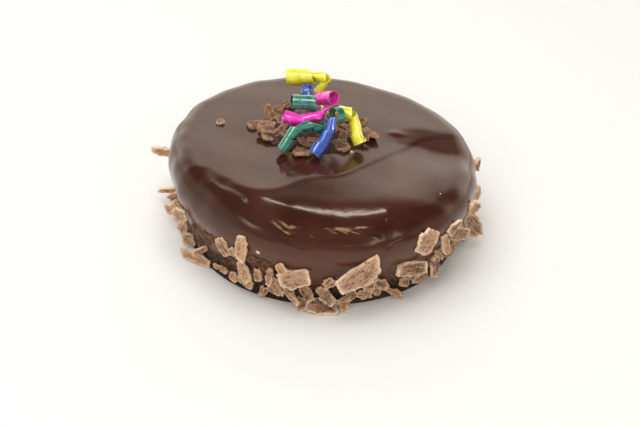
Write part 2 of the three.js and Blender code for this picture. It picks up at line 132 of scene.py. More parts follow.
# Waves and lumps: height, length, seed, and how many are laid over each other where it isn't WAVE_COUNT
WAVE_COUNT = 7
WAVE_SPREAD = (0.7, 1.5)
WAVE_GAIN = 1.6
TOP_WAVES = (0.22, 46, 3)
TOP_WAVES_TO_DOWN = (0, 10)
SIDE_WAVES = (0.45, 24, 8)
SIDE_WAVES_FROM_DOWN = (-2, 10)
LEFT_WAVES = (0.3, 10, 12)
LEFT_WAVES_AZIMUTHS = (-130, 30, -25, 25)
LEFT_WAVES_SQUASH = 0.5
RELIEF_FROM_HEIGHT = (0, 4)
# Rough crumb where the glaze is thin: low down all round, and higher up at the front left
CRUMB_PATCHES = (0.5, 13, 21)
CRUMB_LUMPS = (0.45, 4.4, 31, 12)
LOW_CRUMB_EVENNESS = 0.45
LOW_CRUMB_FROM_DOWN = (33, 12)
LEFT_CRUMB_AZIMUTHS = (-78, 16, -12, 10)
LEFT_CRUMB_FROM_DOWN = (22, 7)
LEFT_CRUMB_FROM_PATCH = (0.12, 0.3)
# Duller glaze: down the rim, most on the left, and round the heap
RIM_SATIN = 0.5
RIM_SATIN_FROM_DOWN = (-1, 6)
LEFT_SATIN_AZIMUTHS = (-170, 30, -8, 16)
LEFT_SATIN_FROM_DOWN = (-9, 7)
HEAP_SATIN_TO_DOWN = (-36, 8)
# Stray crumbs: azimuth, distance down and size. The second is a painted highlight: a pale crumb where the
# glaze has a glint. Then their shape, as shares of that size
STRAY_CRUMBS_AND_GLINT = ((-21.9, 24, 2.6), (58.3, 0, 1.1), (66.5, -50.7, 2.6))
CRUMB_CORNERS = 6
CRUMB_REACH = (0.6, 1.1)
CRUMB_TOP = 0.35
CRUMB_BOTTOM = -0.2

# Flakes, as in the CAD part
FLAKE_THICKNESS = (1.6, 2.4)
FLAKE_EMBED = 0.9
FLAKE_CORNERS = (35, 90, 145, 215, 270, 325)
CORNER_SWAY = 14
CORNER_REACH = (0.85, 1.1)
CORNER_SQUARENESS = 0.7
FLAKE_SEED = 20

# Azimuth, height of the middle, length, width, turn in its own plane, lean outwards, swing sideways
FRONT_FLAKES = (
    (14, 24, 28, 11.5, 28, -14, 0), (4, 16.5, 6.5, 5.5, 40, -8, 0), (-8, 20, 17, 10, 15, -18, 0),
    (-13, 24, 7, 5, -58, -5, 0), (-17.5, 18, 10, 3.5, 88, -10, 0), (-11.5, 11.6, 23, 3, -30, -15, -12),
    (-10, 6.5, 8, 3, -45, -25, 0), (-16, 8, 9, 5, -14, -25, 0), (-22, 4.5, 5.5, 2.5, 85, -15, 0),
    (-20.5, 4.2, 5, 2.2, 78, -15, 0), (-4, 9.7, 10, 4.5, -40, -20, -20), (3, 9, 12.5, 5.5, -36, -20, -22),
    (2, 2.4, 16, 11, -8, -66, 0), (-6, 2, 5, 8, 15, -55, 0), (10, 1.8, 5, 8, -20, -60, 0),
    (11, 6.2, 11.5, 3.5, 12, -25, 15), (18, 6.3, 8, 5, -7, -30, 0), (23, 6.8, 5, 4.8, 26, -20, 0),
    (19, 12, 7, 6, 14, -12, 0), (24, 11.8, 9, 4.8, -42, -8, 0), (30, 4, 11, 3.4, -28, -30, -15),
    (34.6, 18.7, 20, 8.4, -14, -10, 0), (40, 32, 13, 13, -20, -4, 0), (35, 7.5, 5.5, 5, -10, -20, 0),
    (39, 9.4, 6.5, 5, -34, 0, 0), (43, 5.2, 11.5, 5, -3, -30, 0), (48.5, 10, 12, 6.5, 68, -22, 0),
    (50, 16.7, 9, 2.6, -51, 0, -10), (50, 16.5, 8, 2.6, 40, 0, 0), (50, 24, 12, 5, -81, -10, 0),
    (66, 6, 11, 3, 60, -15, -45), (69, 5, 11, 3, 60, -15, -50), (60, 22.5, 13, 7.5, -20, 0, -20),
    (78, 12, 17, 9, -66, -15, -50), (54, 31, 10.5, 5, 24, 0, -10), (72, 28, 11, 8, -55, 10, -25),
    (100, 28, 10, 7, -50, 0, -35), (-36, 26.5, 12, 6, -54, -4, 6), (-28, 31, 15, 6.5, -88, -6, 0),
    (-28, 15.5, 13, 6, -53, -12, 0), (-23, 14.5, 6.5, 4.5, -85, -5, 0), (-35, 5.8, 5.5, 5, -83, -20, 0),
    (-29, 6.5, 10, 4.8, -12, -28, 0), (-32, 26, 4.5, 2.6, -74, 0, 0), (-42, 6, 10, 3, 5, -30, 0),
    (-52, 11, 8.5, 2.6, 12, 0, 72), (-56, 3.2, 23, 5, -4, -15, 28), (-67, 4, 7.5, 7.5, 20, -10, 45),
    (-75, 5, 8, 5, 50, 0, 45), (-62, 25, 8, 8, 25, 0, 42), (-84, 8, 12, 8.5, 20, 0, 60),
    (-78, 17, 4, 3, 0, 0, 30), (-94, 7, 12, 4.5, 30, 0, 72), (-97, 8, 20, 3, 16, 0, 76),
    (-104, 24, 18, 5, 2, 0, 86),
)
BACK_FROM = 84
BACK_TO = 252
BACK_ROWS = (
    {"height": 4, "step": 9, "length": (8, 16), "width": (3.5, 6)},
    {"height": 12, "step": 13, "length": (7, 14), "width": (4, 7)},
    {"height": 21, "step": 18, "length": (6, 12), "width": (4.5, 8)},
)
# Ranges at the back: of azimuth and height about their places, and of turn, lean and swing
BACK_SWAY = ((-3, 3), (-2, 2))
BACK_TILT = ((-70, 70), (-36, 2), (-30, 30))

# x, y, lift of the middle above the top, length, width, turn, pitch, roll
TOP_CHIP = (-52, 12, 0.6, 4.4, 3.6, 30, 0, 4)
HEAP_SHAVINGS = (
    (-35, 11, 1.0, 7, 5, 20, 6, 8), (-29, 11, 2.0, 11, 5, -12, -6, 14), (-28, 21, 2.4, 12, 4.5, -58, 14, 24),
    (-24, 27, 2.2, 8, 4, 20, -12, 20), (-28, 5.5, 2.2, 11, 4, -35, 4, -20), (-27, 0, 1.4, 8, 7, 10, 5, -6),
    (-21.5, 4, 2.4, 16, 5, 62, -8, 24), (-11, -12, 1.6, 9, 8, 30, 6, -10), (-10, -4, 1.8, 8, 4.5, -40, 8, 18),
    (8, -3, 1.6, 10, 9, 15, -4, 8), (9, 12, 2.4, 10, 6, -20, 8, 16), (22, 11, 1.6, 14, 5.5, -58, 4, -14),
    (-19, 34, 1.6, 7, 5, 40, 6, 10), (4, 25, 2.8, 9, 5, 30, -14, 20), (-17, 13, 2.6, 9, 5, 80, 10, -16),
    (17, 20, 1.8, 11, 5, 24, -6, 12), (-6, 31, 2.0, 12, 5, -14, 8, 10), (6, 33, 1.5, 8, 5, 50, 6, -8),
    (13, 4, 1.4, 8, 5, 70, 0, 10), (-3, 1, 1.6, 9, 5, 20, 6, 12),
)
HEAP_CENTRE = (-6, 10)
# Length, width and height of the mound under the heap, and how high it stands at its foot
CORE_SIZE = (54, 42, 2.8)
CORE_FOOT = 0.05
CORE_RINGS = 16
CORE_ROUND = 64
CORE_LUMPS = (0.25, 6, 44)
HEAP_SEED = 77
HEAP_RINGS = ((7, 4), (13, 6), (18, 6))
HEAP_STRETCH = 1.35
HEAP_SWAY = (0.2, 0.8)
# Ranges of lift, length, width, turn, pitch and roll for the rest of the heap
HEAP_FILL = ((1.4, 3), (8, 12), (3.5, 5.5), (0, 180), (-12, 12), (-20, 20))

# Broken look of the flakes. A face has rings of points: share of the outline, share of the half thickness
EDGE_POINTS = 7
FACE_RINGS = ((1.0, 0.76), (0.96, 1.0), (0.85, 1.0), (0.66, 1.0), (0.44, 1.0), (0.22, 1.0))
BACK_RINGS = ((1.0, 0.76), (0.85, 1.0), (0.45, 1.0))
EDGE_ROUNDING = 0.12
CHIP_DEPTH = 0.32
CHIP_LIMITS = (-1.0, 0.5)
CHIP_RUN = 3
COARSE_CHIPS = 0.75
FINE_CHIPS = 0.6
# Mean and spread of how far the wall round a flake bulges
WALL_BULGE = (0.1, 0.16)
WALL_SWAY = 0.18
FACE_RELIEF = 0.17
RIPPLE_LENGTH = 2.1
RIPPLE_SWAY = 0.9
RIPPLE_SWAY_LENGTH = 11
SWELL_LENGTH = 4.3
SWELL_HEADING = (0.8, 0.3)
FACE_ROUGHNESS = 0.7
LEDGE_DEPTH = (0.15, 0.75)
LEDGE_PLACE = (-0.5, 0.6)
LEDGE_WIDTH = 0.1
LEDGE_SWAY = 0.08
LEDGE_SWAY_TURN = 9
FLAKE_BEND = 0.7
FLAKE_TWIST = 0.4
FLAKE_TINT = (0.2, 0.9)
GRAIN_SPREAD = 500
PALE_FROM_SHARE = (0.78, 0.18)
DETAIL_SEED = 5
# Paleness of the front flakes whose tone stands out, by their place in the list
FLAKE_TINTS = {
    0: 0.55, 1: 0.6, 2: 0.65, 3: 0.8, 5: 0.7, 10: 0.35, 11: 0.3, 12: 0.3, 20: 0.75, 21: 0.05, 22: 0.85,
    29: 0.8, 32: 0.4, 33: 0.35, 34: 0.5, 37: 0.5, 38: 0.95, 39: 0.85, 40: 0.8, 45: 0.9, 46: 0.9, 47: 0.7,
    49: 0.8, 50: 0.7,
}

# Smooth shading breaks at edges sharper than these angles
CAKE_SHARP_ANGLE = 60
FLAKE_SHARP_ANGLE = 30
RIBBON_SHARP_ANGLE = 50

# Curled ribbons
RIBBON_WIDTH = 7.1
RIBBON_THICKNESS = 0.24
RIBBON_EDGE_THINNING = 0.6
RIBBON_EDGE_POWER = 8
RIBBON_PALE_POWER = 12
RIBBON_PITCH = 6.8
RIBBON_SHINGLE = 0.045
RIBBON_PINCH_RADIUS = 1.6
RIBBON_PINCH_WIDTH = 0.45
RIBBON_STEPS_PER_TURN = 44
RIBBON_CLEARANCE = 0.4
RIBBON_ACROSS = 9
RIBBON_SLIVER = 0.15
RIBBON_GRAIN_RADIUS = 3
SPINE_DIVISIONS = 200
SPINE_STEP = 1e-4
SMALLEST_TURN = 1e-12
# From one curled end through the tie to the other: x, y, z and the curl's radius
RIBBONS = {
    "ribbon_yellow": (
        ((-20.2, 27.9, 66.6, 4.1), (-16.5, 27.9, 66.8, 4.1), (-12.5, 28, 66.8, 4), (-9, 28, 66.9, 3.3),
         (-6.3, 28.7, 67, 2.4), (-3.1, 28.6, 66.9, 2.5), (-1.2, 27.6, 65.2, 2.4), (-2.8, 27, 61.9, 2.1),
         (-4.6, 26, 58.5, 1.7), (-2.8, 21.5, 55.4, 0.6), (1, 12.5, 56, 0.6), (5, 8, 58.4, 0.6),
         (6.8, 7.2, 60, 0.8), (8.8, 5.4, 61.2, 2.7), (10.8, 4.1, 61.4, 2.9), (12.7, 3.1, 60.6, 2.6),
         (13.9, 2.1, 58.8, 2.5), (14.9, 0.2, 56, 2.6), (15.9, -2.2, 52.7, 2.8), (17.6, -4.2, 49.6, 3.4)),
    ),
    "ribbon_magenta": (
        ((-3.7, 15.6, 62.2, 3.3), (-0.2, 12.4, 64.5, 3.3), (3.7, 8.7, 67.1, 3.3)),
        ((1.9, 10.4, 62.8, 0.6), (1.6, 7, 63.2, 0.6), (0.4, 3.7, 64.6, 0.7), (-0.9, 1.9, 63.2, 1.1),
         (-2.5, 0.9, 61.8, 2), (-7.2, 0.2, 60.5, 2.3), (-11, -0.6, 59.7, 2.8), (-15, -0.9, 59.9, 3),
         (-17.8, -1.1, 60.8, 3), (-20.2, -1.2, 61.6, 3)),
    ),
    "ribbon_teal": (
        ((-20.2, -13.8, 50, 2.9), (-17.8, -11.8, 53.2, 2.9), (-15, -9.4, 57.2, 2.8), (-11.2, -7.7, 59.1, 2.3),
         (-7.8, -6.8, 59.9, 2), (-4.1, -6, 58.2, 2.3), (-1.2, -4.4, 57.3, 1.9), (2.1, -2.6, 57, 0.7),
         (3.8, -0.6, 57, 0.6), (5.6, 0.6, 57.9, 0.6)),
        ((4.2, -0.5, 62.2, 4.2), (5.7, 0.6, 62, 4.2), (7.2, 1.7, 61.8, 4.2)),
        ((-16.8, 4.6, 66.4, 3.5), (-13.1, 5.2, 66, 3.5), (-9.2, 5.6, 65.8, 3.5), (-5, 5.6, 65.8, 3.4)),
        ((-6.5, 5.5, 62.9, 0.6), (-4.6, 5.3, 60.5, 0.6), (-3, 5, 59, 0.6), (-1, 1.4, 56.8, 0.6),
         (2.1, -2.6, 57, 0.6)),
    ),
    "ribbon_blue": (
        ((-4.3, -16.2, 50, 3.5), (-2.4, -14.4, 52.4, 3.5), (-0.6, -12.5, 54.3, 3.2), (0.8, -10.9, 56.4, 2.6),
         (2.2, -8.7, 59.2, 2.4), (3.3, -6.4, 62, 2.2), (3, -4.4, 62.4, 0.9), (0.5, -1.8, 61.2, 0.6),
         (0, 2.8, 59.6, 0.6), (-1.5, 9.4, 58.4, 0.6), (-4.9, 15.2, 57, 0.6), (-8.4, 16.4, 57.8, 1),
         (-9.3, 17.4, 60.2, 2.9), (-9.4, 19.6, 62.4, 3.1), (-9.4, 22.6, 64.4, 3.1)),
    ),
}

# Colours, linear, and heights in metres between which one of them takes over
GLAZE_DARK = (0.042, 0.0122, 0.0075)
GLAZE_LIGHT = (0.064, 0.0195, 0.012)
# Lower side colour: thinner glaze, and partly a painted warm reflection that brightens it
GLAZE_SIDE = (0.088, 0.026, 0.0155)
CRUMB_DARK = (0.03, 0.01, 0.006)
CRUMB_LIGHT = (0.2, 0.08, 0.041)
# Painted shade: the crumb colour darkens to this near the foot, between the two heights below, where the
# flakes shade it
CRUMB_PAINTED_SHADE = (0.022, 0.008, 0.005)
CRUMB_PAINTED_SHADE_HEIGHTS = (0.016, 0.004)
GLAZE_GLOSS = (1, 0.84, 0.64)
GLAZE_SIDE_HEIGHTS = (0.042, 0.03)
FLAKE_DARK = (0.19, 0.085, 0.05)
FLAKE_PALE = (0.6, 0.34, 0.19)
# Pale edge colour: broken chocolate, and partly a painted highlight where the edges catch the light
FLAKE_EDGE_AND_HIGHLIGHT = (0.92, 0.68, 0.46)
HEAP_DARK = (0.14, 0.066, 0.04)
HEAP_PALE = (0.4, 0.215, 0.125)
# Pale edge colour of the shavings: broken chocolate, and partly a painted highlight
HEAP_EDGE_AND_HIGHLIGHT = (0.52, 0.32, 0.2)
BLOOM_TINT = (0.86, 0.88, 0.96)
# Mound under the heap: dark crumbs, partly painted shade between the shavings
CORE_DARK = (0.04, 0.016, 0.01)
CORE_LIGHT = (0.12, 0.058, 0.036)
FLOOR_PALE = (0.86, 0.855, 0.84)
RIBBON_COLOURS = {
    "ribbon_yellow": ((0.66, 0.57, 0.012), (0.8, 0.73, 0.045)),
    "ribbon_magenta": ((0.7, 0.011, 0.34), (0.88, 0.03, 0.5)),
    "ribbon_teal": ((0.0015, 0.085, 0.05), (0.006, 0.185, 0.115)),
    "ribbon_blue": ((0.002, 0.028, 0.24), (0.006, 0.075, 0.42)),
}
# Roughness, shares and stretches in the materials
GLAZE_ROUGHNESS = (0.09, 0.18)
CRUMB_ROUGHNESS = 0.8
CRUMB_JUMBLE = 0.0016
CRUMB_CELL_SHARE = 0.45
CRUMB_PATCH_SHARE = 0.7
STREAK_SCALE = (0.12, 0.75, 0.5)
MOTTLE_SCALE = (0.45, 0.6, 0.6)
BLOOM_SCALE = (0.02, 0.02, 0.02)
TINT_SHARE = 0.8
UNEVEN_SHARE = 2.9
FOIL_SCALE = (0.1, 0.2, 1)
FOIL_PALENESS = 0.35
FOIL_EDGE_SHARE = 0.15

# Studio: floor, surroundings and lights, in metres and watts
FLOOR_SIZE = 6.0
FLOOR_SHADE = 0.985
CLIP_START = 0.01
# Brightness of the surroundings from the backdrop's foot, over the top and down to the camera's side:
# share of that half turn, brightness
SURROUNDINGS = (
    (0.0, 0.38), (0.13, 0.35), (0.17, 0.3), (0.2, 0.22), (0.225, 0.1), (0.245, 0.03), (0.27, 0.01),
    (0.55, 0.01), (0.7, 0.05), (1.0, 0.1),
)
BACKDROP_TINT = (1, 0.94, 0.86)
SIDE_BRIGHTNESS = 0.145
SIDE_RANGE = (0.72, 0.97)
SURROUND_STRENGTH = 5.0
# Glossy lights also show as reflections
LIGHTS = {
    "key": {"size": (1.4, 1.4), "power": 15, "place": (-0.25, 0.1, 1.25), "glossy": False},
    "fill": {"size": (1.2, 1.2), "power": 8, "place": (-0.2, -1.5, 0.85), "glossy": False},
    "strip": {"size": (0.25, 0.045), "power": 0.3, "place": (0.11, 0.75, 1.0), "shape": "ELLIPSE"},
    "overhead": {"size": (0.3, 0.12), "power": 0.8, "place": (0.16, 0.05, 1.2), "colour": (1, 0.86, 0.6)},
    "left": {"size": (0.3, 0.45), "power": 1.5, "place": (-0.85, -0.8, 0.95)},
    "right": {"size": (0.3, 0.45), "power": 1.5, "place": (0.85, -0.8, 0.95)},
}
# These light the ribbons alone, so that the front rim of the glaze stays dark
RIBBON_LIGHTS = (
    {"size": (0.6, 0.3), "power": 4, "place": (0.05, -0.5, 1.15)},
    {"size": (0.4, 0.3), "power": 2.2, "place": (-0.75, -0.32, 0.95)},
    {"size": (0.3, 0.3), "power": 1.5, "place": (0.7, -0.7, 0.74)},
)


class Draws:
    """Seeded random draws, the same as in the CAD part."""

    FACTOR = 1664525
    STEP = 1013904223
    RANGE = 4294967296

    def __init__(self, seed):
        self.state = seed

    def __call__(self, low, high):
        self.state = (self.state * self.FACTOR + self.STEP) % self.RANGE
        return low + (high - low) * self.state / self.RANGE


# Mesh helpers

def add_object(name, data):
    thing = bpy.data.objects.new(name, data)
    bpy.context.collection.objects.link(thing)
    return thing


def make_piece(name, points, faces, values, material, slot, node=None, sharp_angle=None):
    """A piece of the cake from points in millimetres, on the root body."""
    mesh = bpy.data.meshes.new(name)
    mesh.from_pydata((np.asarray(points) * MM).tolist(), [], faces)
    mesh.shade_smooth()
    if sharp_angle:
        mesh.set_sharp_from_angle(angle=math.radians(sharp_angle))
    for label, data in values.items():
        data = np.asarray(data, dtype=np.float32)
        kind, field = ("FLOAT", "value") if data.ndim == 1 else ("FLOAT_VECTOR", "vector")
        mesh.attributes.new(label, kind, "POINT").data.foreach_set(field, data.ravel())
    mesh.materials.append(material)
    piece = add_object(name, mesh)
    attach(piece, BODY)
    if node:
        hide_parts(node)
    return piece


def join(bodies):
    """Points, faces and point values of many small bodies, put together as one mesh."""
    faces = []
    start = 0
    for points, own_faces, _ in bodies:
        faces += [tuple(start + i for i in face) for face in own_faces]
        start += len(points)
    all_points, _, all_values = zip(*bodies)
    values = {label: np.concatenate([own[label] for own in all_values]) for label in all_values[0]}
    return np.concatenate(all_points), faces, values


def band_faces(low, high, count):
    """Quads between two rings of points, given by the first point of each."""
    return [(low + i, low + (i + 1) % count, high + (i + 1) % count, high + i) for i in range(count)]


def ring_faces(rings, count, start=0):
    """Quads between rings of points that lie one after another."""
    lows = range(start, start + (rings - 1) * count, count)
    return [face for low in lows for face in band_faces(low, low + count, count)]


def fan_faces(first, count, tip):
    """Triangles between a ring of points and its tip."""
    return [(first + i, first + (i + 1) % count, tip) for i in range(count)]


def flipped(faces):
    return [face[::-1] for face in faces]


def unit(vectors):
    return vectors / np.linalg.norm(vectors, axis=-1, keepdims=True)


def smooth_step(value):
    value = np.clip(value, 0, 1)
    return value * value * (3 - 2 * value)


def fade_in(value, start, length):
    return smooth_step((value - start) / length)


def fade_out(value, end, length):
    return smooth_step((end - value) / length)


def window(value, start, rise, end, fall):
    return fade_in(value, start, rise) * fade_out(value, end, fall)


def even_step(value):
    """From 0 to 1 in a straight slope with rounded ends."""
    value = np.clip(value, 0, 1)
    bend = 0.2
    start = np.minimum(value, bend) ** 2 / (2 * bend)
    middle = np.clip(value - bend, 0, 1 - 2 * bend)
    late = np.clip(value - 1 + bend, 0, bend)
    return (start + middle + late - late ** 2 / (2 * bend)) / (1 - bend)


def curve(rows, place):
    """Spots on a smooth curve through rows of numbers, by place: 0 at the first row, 1 at the next."""
    ends = np.vstack([2 * rows[0] - rows[1], rows, 2 * rows[-1] - rows[-2]])
    index = np.minimum(place.astype(int), len(rows) - 2)
    t = (place - index)[:, None]
    a, b, c, d = (ends[index + k] for k in range(4))
    start = 0.5 * (c - a)
    end = 0.5 * (d - b)
    return b + start * t + (3 * (c - b) - 2 * start - end) * t ** 2 + (2 * (b - c) + start + end) * t ** 3


def smooth_path(points, samples=12):
    """Points of a smooth path through rows of numbers."""
    rows = np.asarray(points, dtype=float)
    return curve(rows, np.arange(samples * (len(rows) - 1) + 1) / samples)


def signed_distance(points, path):
    """Distance from a path, positive on its right-hand side, and where along the path the nearest spot is."""
    signed = np.full(len(points), np.inf)
    place = np.zeros(len(points))
    for i in range(len(path) - 1):
        a, b = path[i, :2], path[i + 1, :2]
        step = b - a
        share = np.clip((points - a) @ step / (step @ step), 0, 1)
        offset = points - a - share[:, None] * step
        distance = np.hypot(offset[:, 0], offset[:, 1])
        side = np.where(step[0] * offset[:, 1] - step[1] * offset[:, 0] < 0, 1.0, -1.0)
        nearer = distance < np.abs(signed)
        signed = np.where(nearer, distance * side, signed)
        place = np.where(nearer, i + share, place)
    return signed, place


def waves(x, y, height, length, seed, count=WAVE_COUNT):
    """Soft uneven waves of about the given height and length."""
    random = np.random.default_rng(seed)
    total = np.zeros_like(x)
    for _ in range(count):
        heading, phase = random.uniform(0, 2 * np.pi, 2)
        number = 2 * np.pi / (length * random.uniform(*WAVE_SPREAD))
        total += np.sin(number * (x * np.cos(heading) + y * np.sin(heading)) + phase)
    return height * WAVE_GAIN * total / count


# Shape of the glazed cake

def side_radius(height):
    share = np.clip(np.asarray(height) / BELLY_HEIGHT, 0, 1) ** BELLY_SHARPNESS
    return FOOT_RADIUS + (CAKE_RADIUS - FOOT_RADIUS) * smooth_step(share)


def outline_factor(angle):
    return 1 + sum(size * np.sin(count * angle + phase) for count, size, phase in OUTLINE_WAVES)


def top_height(x, y):
    return CAKE_HEIGHT + TOP_TILT_X * x + TOP_TILT_Y * y


def cake_profile():
    """Half section from the foot up the side, over the rim and in to the middle: radius, height and the
    distance down from the start of the rim."""
    side = np.linspace(0, BELLY_HEIGHT, SIDE_STEPS + 1)
    angle = np.linspace(0, 0.5 * np.pi, RIM_STEPS + 1)[1:]
    inward = 1 - np.maximum(np.cos(angle), 0) ** (2 / RIM_POWER)
    rim = BELLY_HEIGHT + (CAKE_HEIGHT - BELLY_HEIGHT) * np.sin(angle) ** (2 / RIM_POWER)
    top = (CAKE_RADIUS - RIM_WIDTH) * np.linspace(1, 0, TOP_STEPS + 1)[1:-1]
    radius = np.concatenate([side_radius(side), CAKE_RADIUS - RIM_WIDTH * inward, top])
    height = np.concatenate([side, rim, np.full(len(top), CAKE_HEIGHT)])
    walked = np.concatenate([[0], np.cumsum(np.hypot(np.diff(radius), np.diff(height)))])
    return np.column_stack([radius, height, walked[SIDE_STEPS + RIM_STEPS] - walked])


def across_line(x, y, rows):
    """How far in front of a line each spot lies, and the line's other numbers at that x."""
    path = smooth_path(rows)
    past, _ = signed_distance(np.stack([x, y], axis=1), path)
    return past, *(np.interp(x, path[:, 0], column) for column in path.T[1:])


def front_fall(x, y, azimuth):
    """How far the top has fallen towards the front rim: evenly from the crease on, then more and more."""
    beside, crease_y, slope = across_line(x, y, CREASE)
    lowest_x, *_ = min(smooth_path(CREASE), key=lambda row: row[1])
    past = np.clip(np.where(x < lowest_x, beside, crease_y - y), 0, CREASE_END)
    onset = np.minimum(past, CREASE_ONSET)
    fall = slope * (0.5 * onset ** 2 / CREASE_ONSET + past - onset)

    distance, _, bend = across_line(x, y, RIM_FALL_LINE)
    ahead = np.maximum(np.minimum(distance, RIM_FALL_END) + (RIM_LINE_SLOPE - slope) / bend, 0)
    bending = np.minimum(ahead, (RIM_FALL_SLOPE - slope) / bend)
    fall += 0.5 * bend * bending ** 2 + (RIM_FALL_SLOPE - slope) * (ahead - bending)
    return fall * fade_in(x, *FALL_FROM_X) * fade_out(azimuth, *FALL_TO_AZIMUTH)


def along_side(azimuth):
    return np.radians(azimuth) * CAKE_RADIUS


def glaze_relief(x, y, azimuth, down):
    """How far the glaze stands out from the plain cake: step, hollow, drips, dimple, bubbles and waves."""
    past, _, drop, width = across_line(x, y, GLAZE_STEP)
    fall = drop * even_step(past / width)
    past, _, drop, width = across_line(x, y, HOLLOW)
    fall += drop * (even_step(past / width) - even_step((past - width) / HOLLOW_RISE))
    relief = -fall * fade_out(down, *STEP_TO_DOWN)

    along = along_side(azimuth)
    for edge in DRIP_EDGES:
        path = smooth_path(edge["points"])
        path[:, 0] = along_side(path[:, 0])
        distance, place = signed_distance(np.stack([along, down], axis=1), path)
        ends = window(place, 0, DRIP_TAPER, len(path) - 1, DRIP_TAPER)
        fade = np.exp(-(distance / edge["reach"]) ** 2) * ends
        relief += edge["height"] * fade * (smooth_step(0.5 - distance / edge["width"]) - 0.5)

    bump = ((x - DIMPLE["x"]) / DIMPLE["length"]) ** 2 + ((y - DIMPLE["y"]) / DIMPLE["width"]) ** 2
    relief += DIMPLE["height"] * np.exp(-bump) * (down < 0)
    for at_azimuth, at_down, radius, depth in PITS:
        away = np.hypot(along - along_side(at_azimuth), down - at_down)
        relief -= depth * np.exp(-(away / radius) ** 2)

    relief += waves(x, y, *TOP_WAVES) * fade_out(down, *TOP_WAVES_TO_DOWN)
    side = fade_in(down, *SIDE_WAVES_FROM_DOWN)
    relief += side * waves(along, down, *SIDE_WAVES)
    left = side * window(azimuth, *LEFT_WAVES_AZIMUTHS)
    return relief + left * waves(along, LEFT_WAVES_SQUASH * down, *LEFT_WAVES)


def crumb_share(azimuth, down):
    """Where the glaze is thin and the rough cake shows through: low down, and most at the front left."""
    patchy = 0.5 + waves(along_side(azimuth), down, *CRUMB_PATCHES)
    low = fade_in(down, *LOW_CRUMB_FROM_DOWN) * (LOW_CRUMB_EVENNESS + (1 - LOW_CRUMB_EVENNESS) * patchy)
    left = window(azimuth, *LEFT_CRUMB_AZIMUTHS) * fade_in(down, *LEFT_CRUMB_FROM_DOWN)
    left *= fade_in(patchy, *LEFT_CRUMB_FROM_PATCH)
    return np.clip(low + left, 0, 1)


def satin_share(azimuth, down):
    """Where the glaze is dulled a little: down the rim, most on the left, and round the heap."""
    left = window(azimuth, *LEFT_SATIN_AZIMUTHS) * fade_in(down, *LEFT_SATIN_FROM_DOWN)
    rim = RIM_SATIN * fade_in(down, *RIM_SATIN_FROM_DOWN)
    return np.maximum(np.maximum(rim, left), fade_out(down, *HEAP_SATIN_TO_DOWN))


def glazed_cake(material):
    """Makes the cake, and returns a function that finds a place on its glaze."""
    profile = cake_profile()
    rings = len(profile)
    angle = np.tile(2 * np.pi * np.arange(ROUND_STEPS) / ROUND_STEPS, rings)
    azimuth = (np.degrees(angle) + 180) % 360 - 180
    plain_radius, height, down = np.repeat(profile, ROUND_STEPS, axis=0).T
    radius = plain_radius * outline_factor(angle)
    x = radius * np.sin(angle)
    y = -radius * np.cos(angle)
    above_belly = np.clip((height - BELLY_HEIGHT) / (CAKE_HEIGHT - BELLY_HEIGHT), 0, 1)
    z = height * top_height(x, y) / CAKE_HEIGHT - above_belly * front_fall(x, y, azimuth)
    plain = np.stack([x, y, z], axis=1)

    grid = plain.reshape(rings, ROUND_STEPS, 3)
    around = np.roll(grid, -1, axis=1) - np.roll(grid, 1, axis=1)
    upward = np.gradient(grid, axis=0)
    normal = unit(np.cross(around, upward).reshape(-1, 3))
    crumb = crumb_share(azimuth, down)
    lumps = crumb * waves(along_side(azimuth), down, *CRUMB_LUMPS)
    relief = fade_in(z, *RELIEF_FROM_HEIGHT) * (glaze_relief(x, y, azimuth, down) + lumps)
    surface = plain + normal * relief[:, None]

    def spot(at_azimuth, at_down):
        """A place on the glaze and the directions along it, up it and out of it."""
        miss = (np.radians(azimuth - at_azimuth) * radius) ** 2 + (down - at_down) ** 2
        nearest = np.argmin(miss)
        outward = normal[nearest]
        across = unit(np.cross((0, 1, 0), outward))
        return surface[nearest], np.stack([across, np.cross(outward, across), outward])

    last = (rings - 1) * ROUND_STEPS
    tip = rings * ROUND_STEPS
    middle = [(0, 0, surface[last:, 2].mean()), (0, 0, 0)]
    faces = ring_faces(rings, ROUND_STEPS) + fan_faces(last, ROUND_STEPS, tip)
    faces += flipped(fan_faces(0, ROUND_STEPS, tip + 1))
    values = {"crumb": np.append(crumb, [0, 1]), "satin": np.append(satin_share(azimuth, down), [1, 1])}
    make_piece("glazed_cake", np.vstack([surface, middle]), faces, values, material, "glaze", node="cake",
               sharp_angle=CAKE_SHARP_ANGLE)
    return spot


def stray_crumb(size, random):
    """A crumb with uneven corners round it, flat about z = 0."""
    turn = 2 * np.pi * np.arange(CRUMB_CORNERS) / CRUMB_CORNERS
    reach = 0.5 * size * random.uniform(*CRUMB_REACH, CRUMB_CORNERS)
    ring = np.column_stack([reach * np.cos(turn), reach * np.sin(turn), np.zeros(CRUMB_CORNERS)])
    points = np.vstack([ring, (0, 0, CRUMB_TOP * size), (0, 0, CRUMB_BOTTOM * size)])
    upper = fan_faces(0, CRUMB_CORNERS, CRUMB_CORNERS)
    return points, upper + flipped(fan_faces(0, CRUMB_CORNERS, CRUMB_CORNERS + 1))


# Flakes and shavings

def flake_corners(draw, length, width):
    """Thickness and the six uneven corners of a flake, drawn as in the CAD part."""
    thickness = draw(*FLAKE_THICKNESS)
    corners = []
    for corner in FLAKE_CORNERS:
        angle = math.radians(corner + draw(-CORNER_SWAY, CORNER_SWAY))
        reach = draw(*CORNER_REACH)
        corners.append([0.5 * size * reach * math.copysign(abs(value) ** CORNER_SQUARENESS, value)
                        for size, value in ((length, math.cos(angle)), (width, math.sin(angle)))])
    return thickness, np.array(corners)


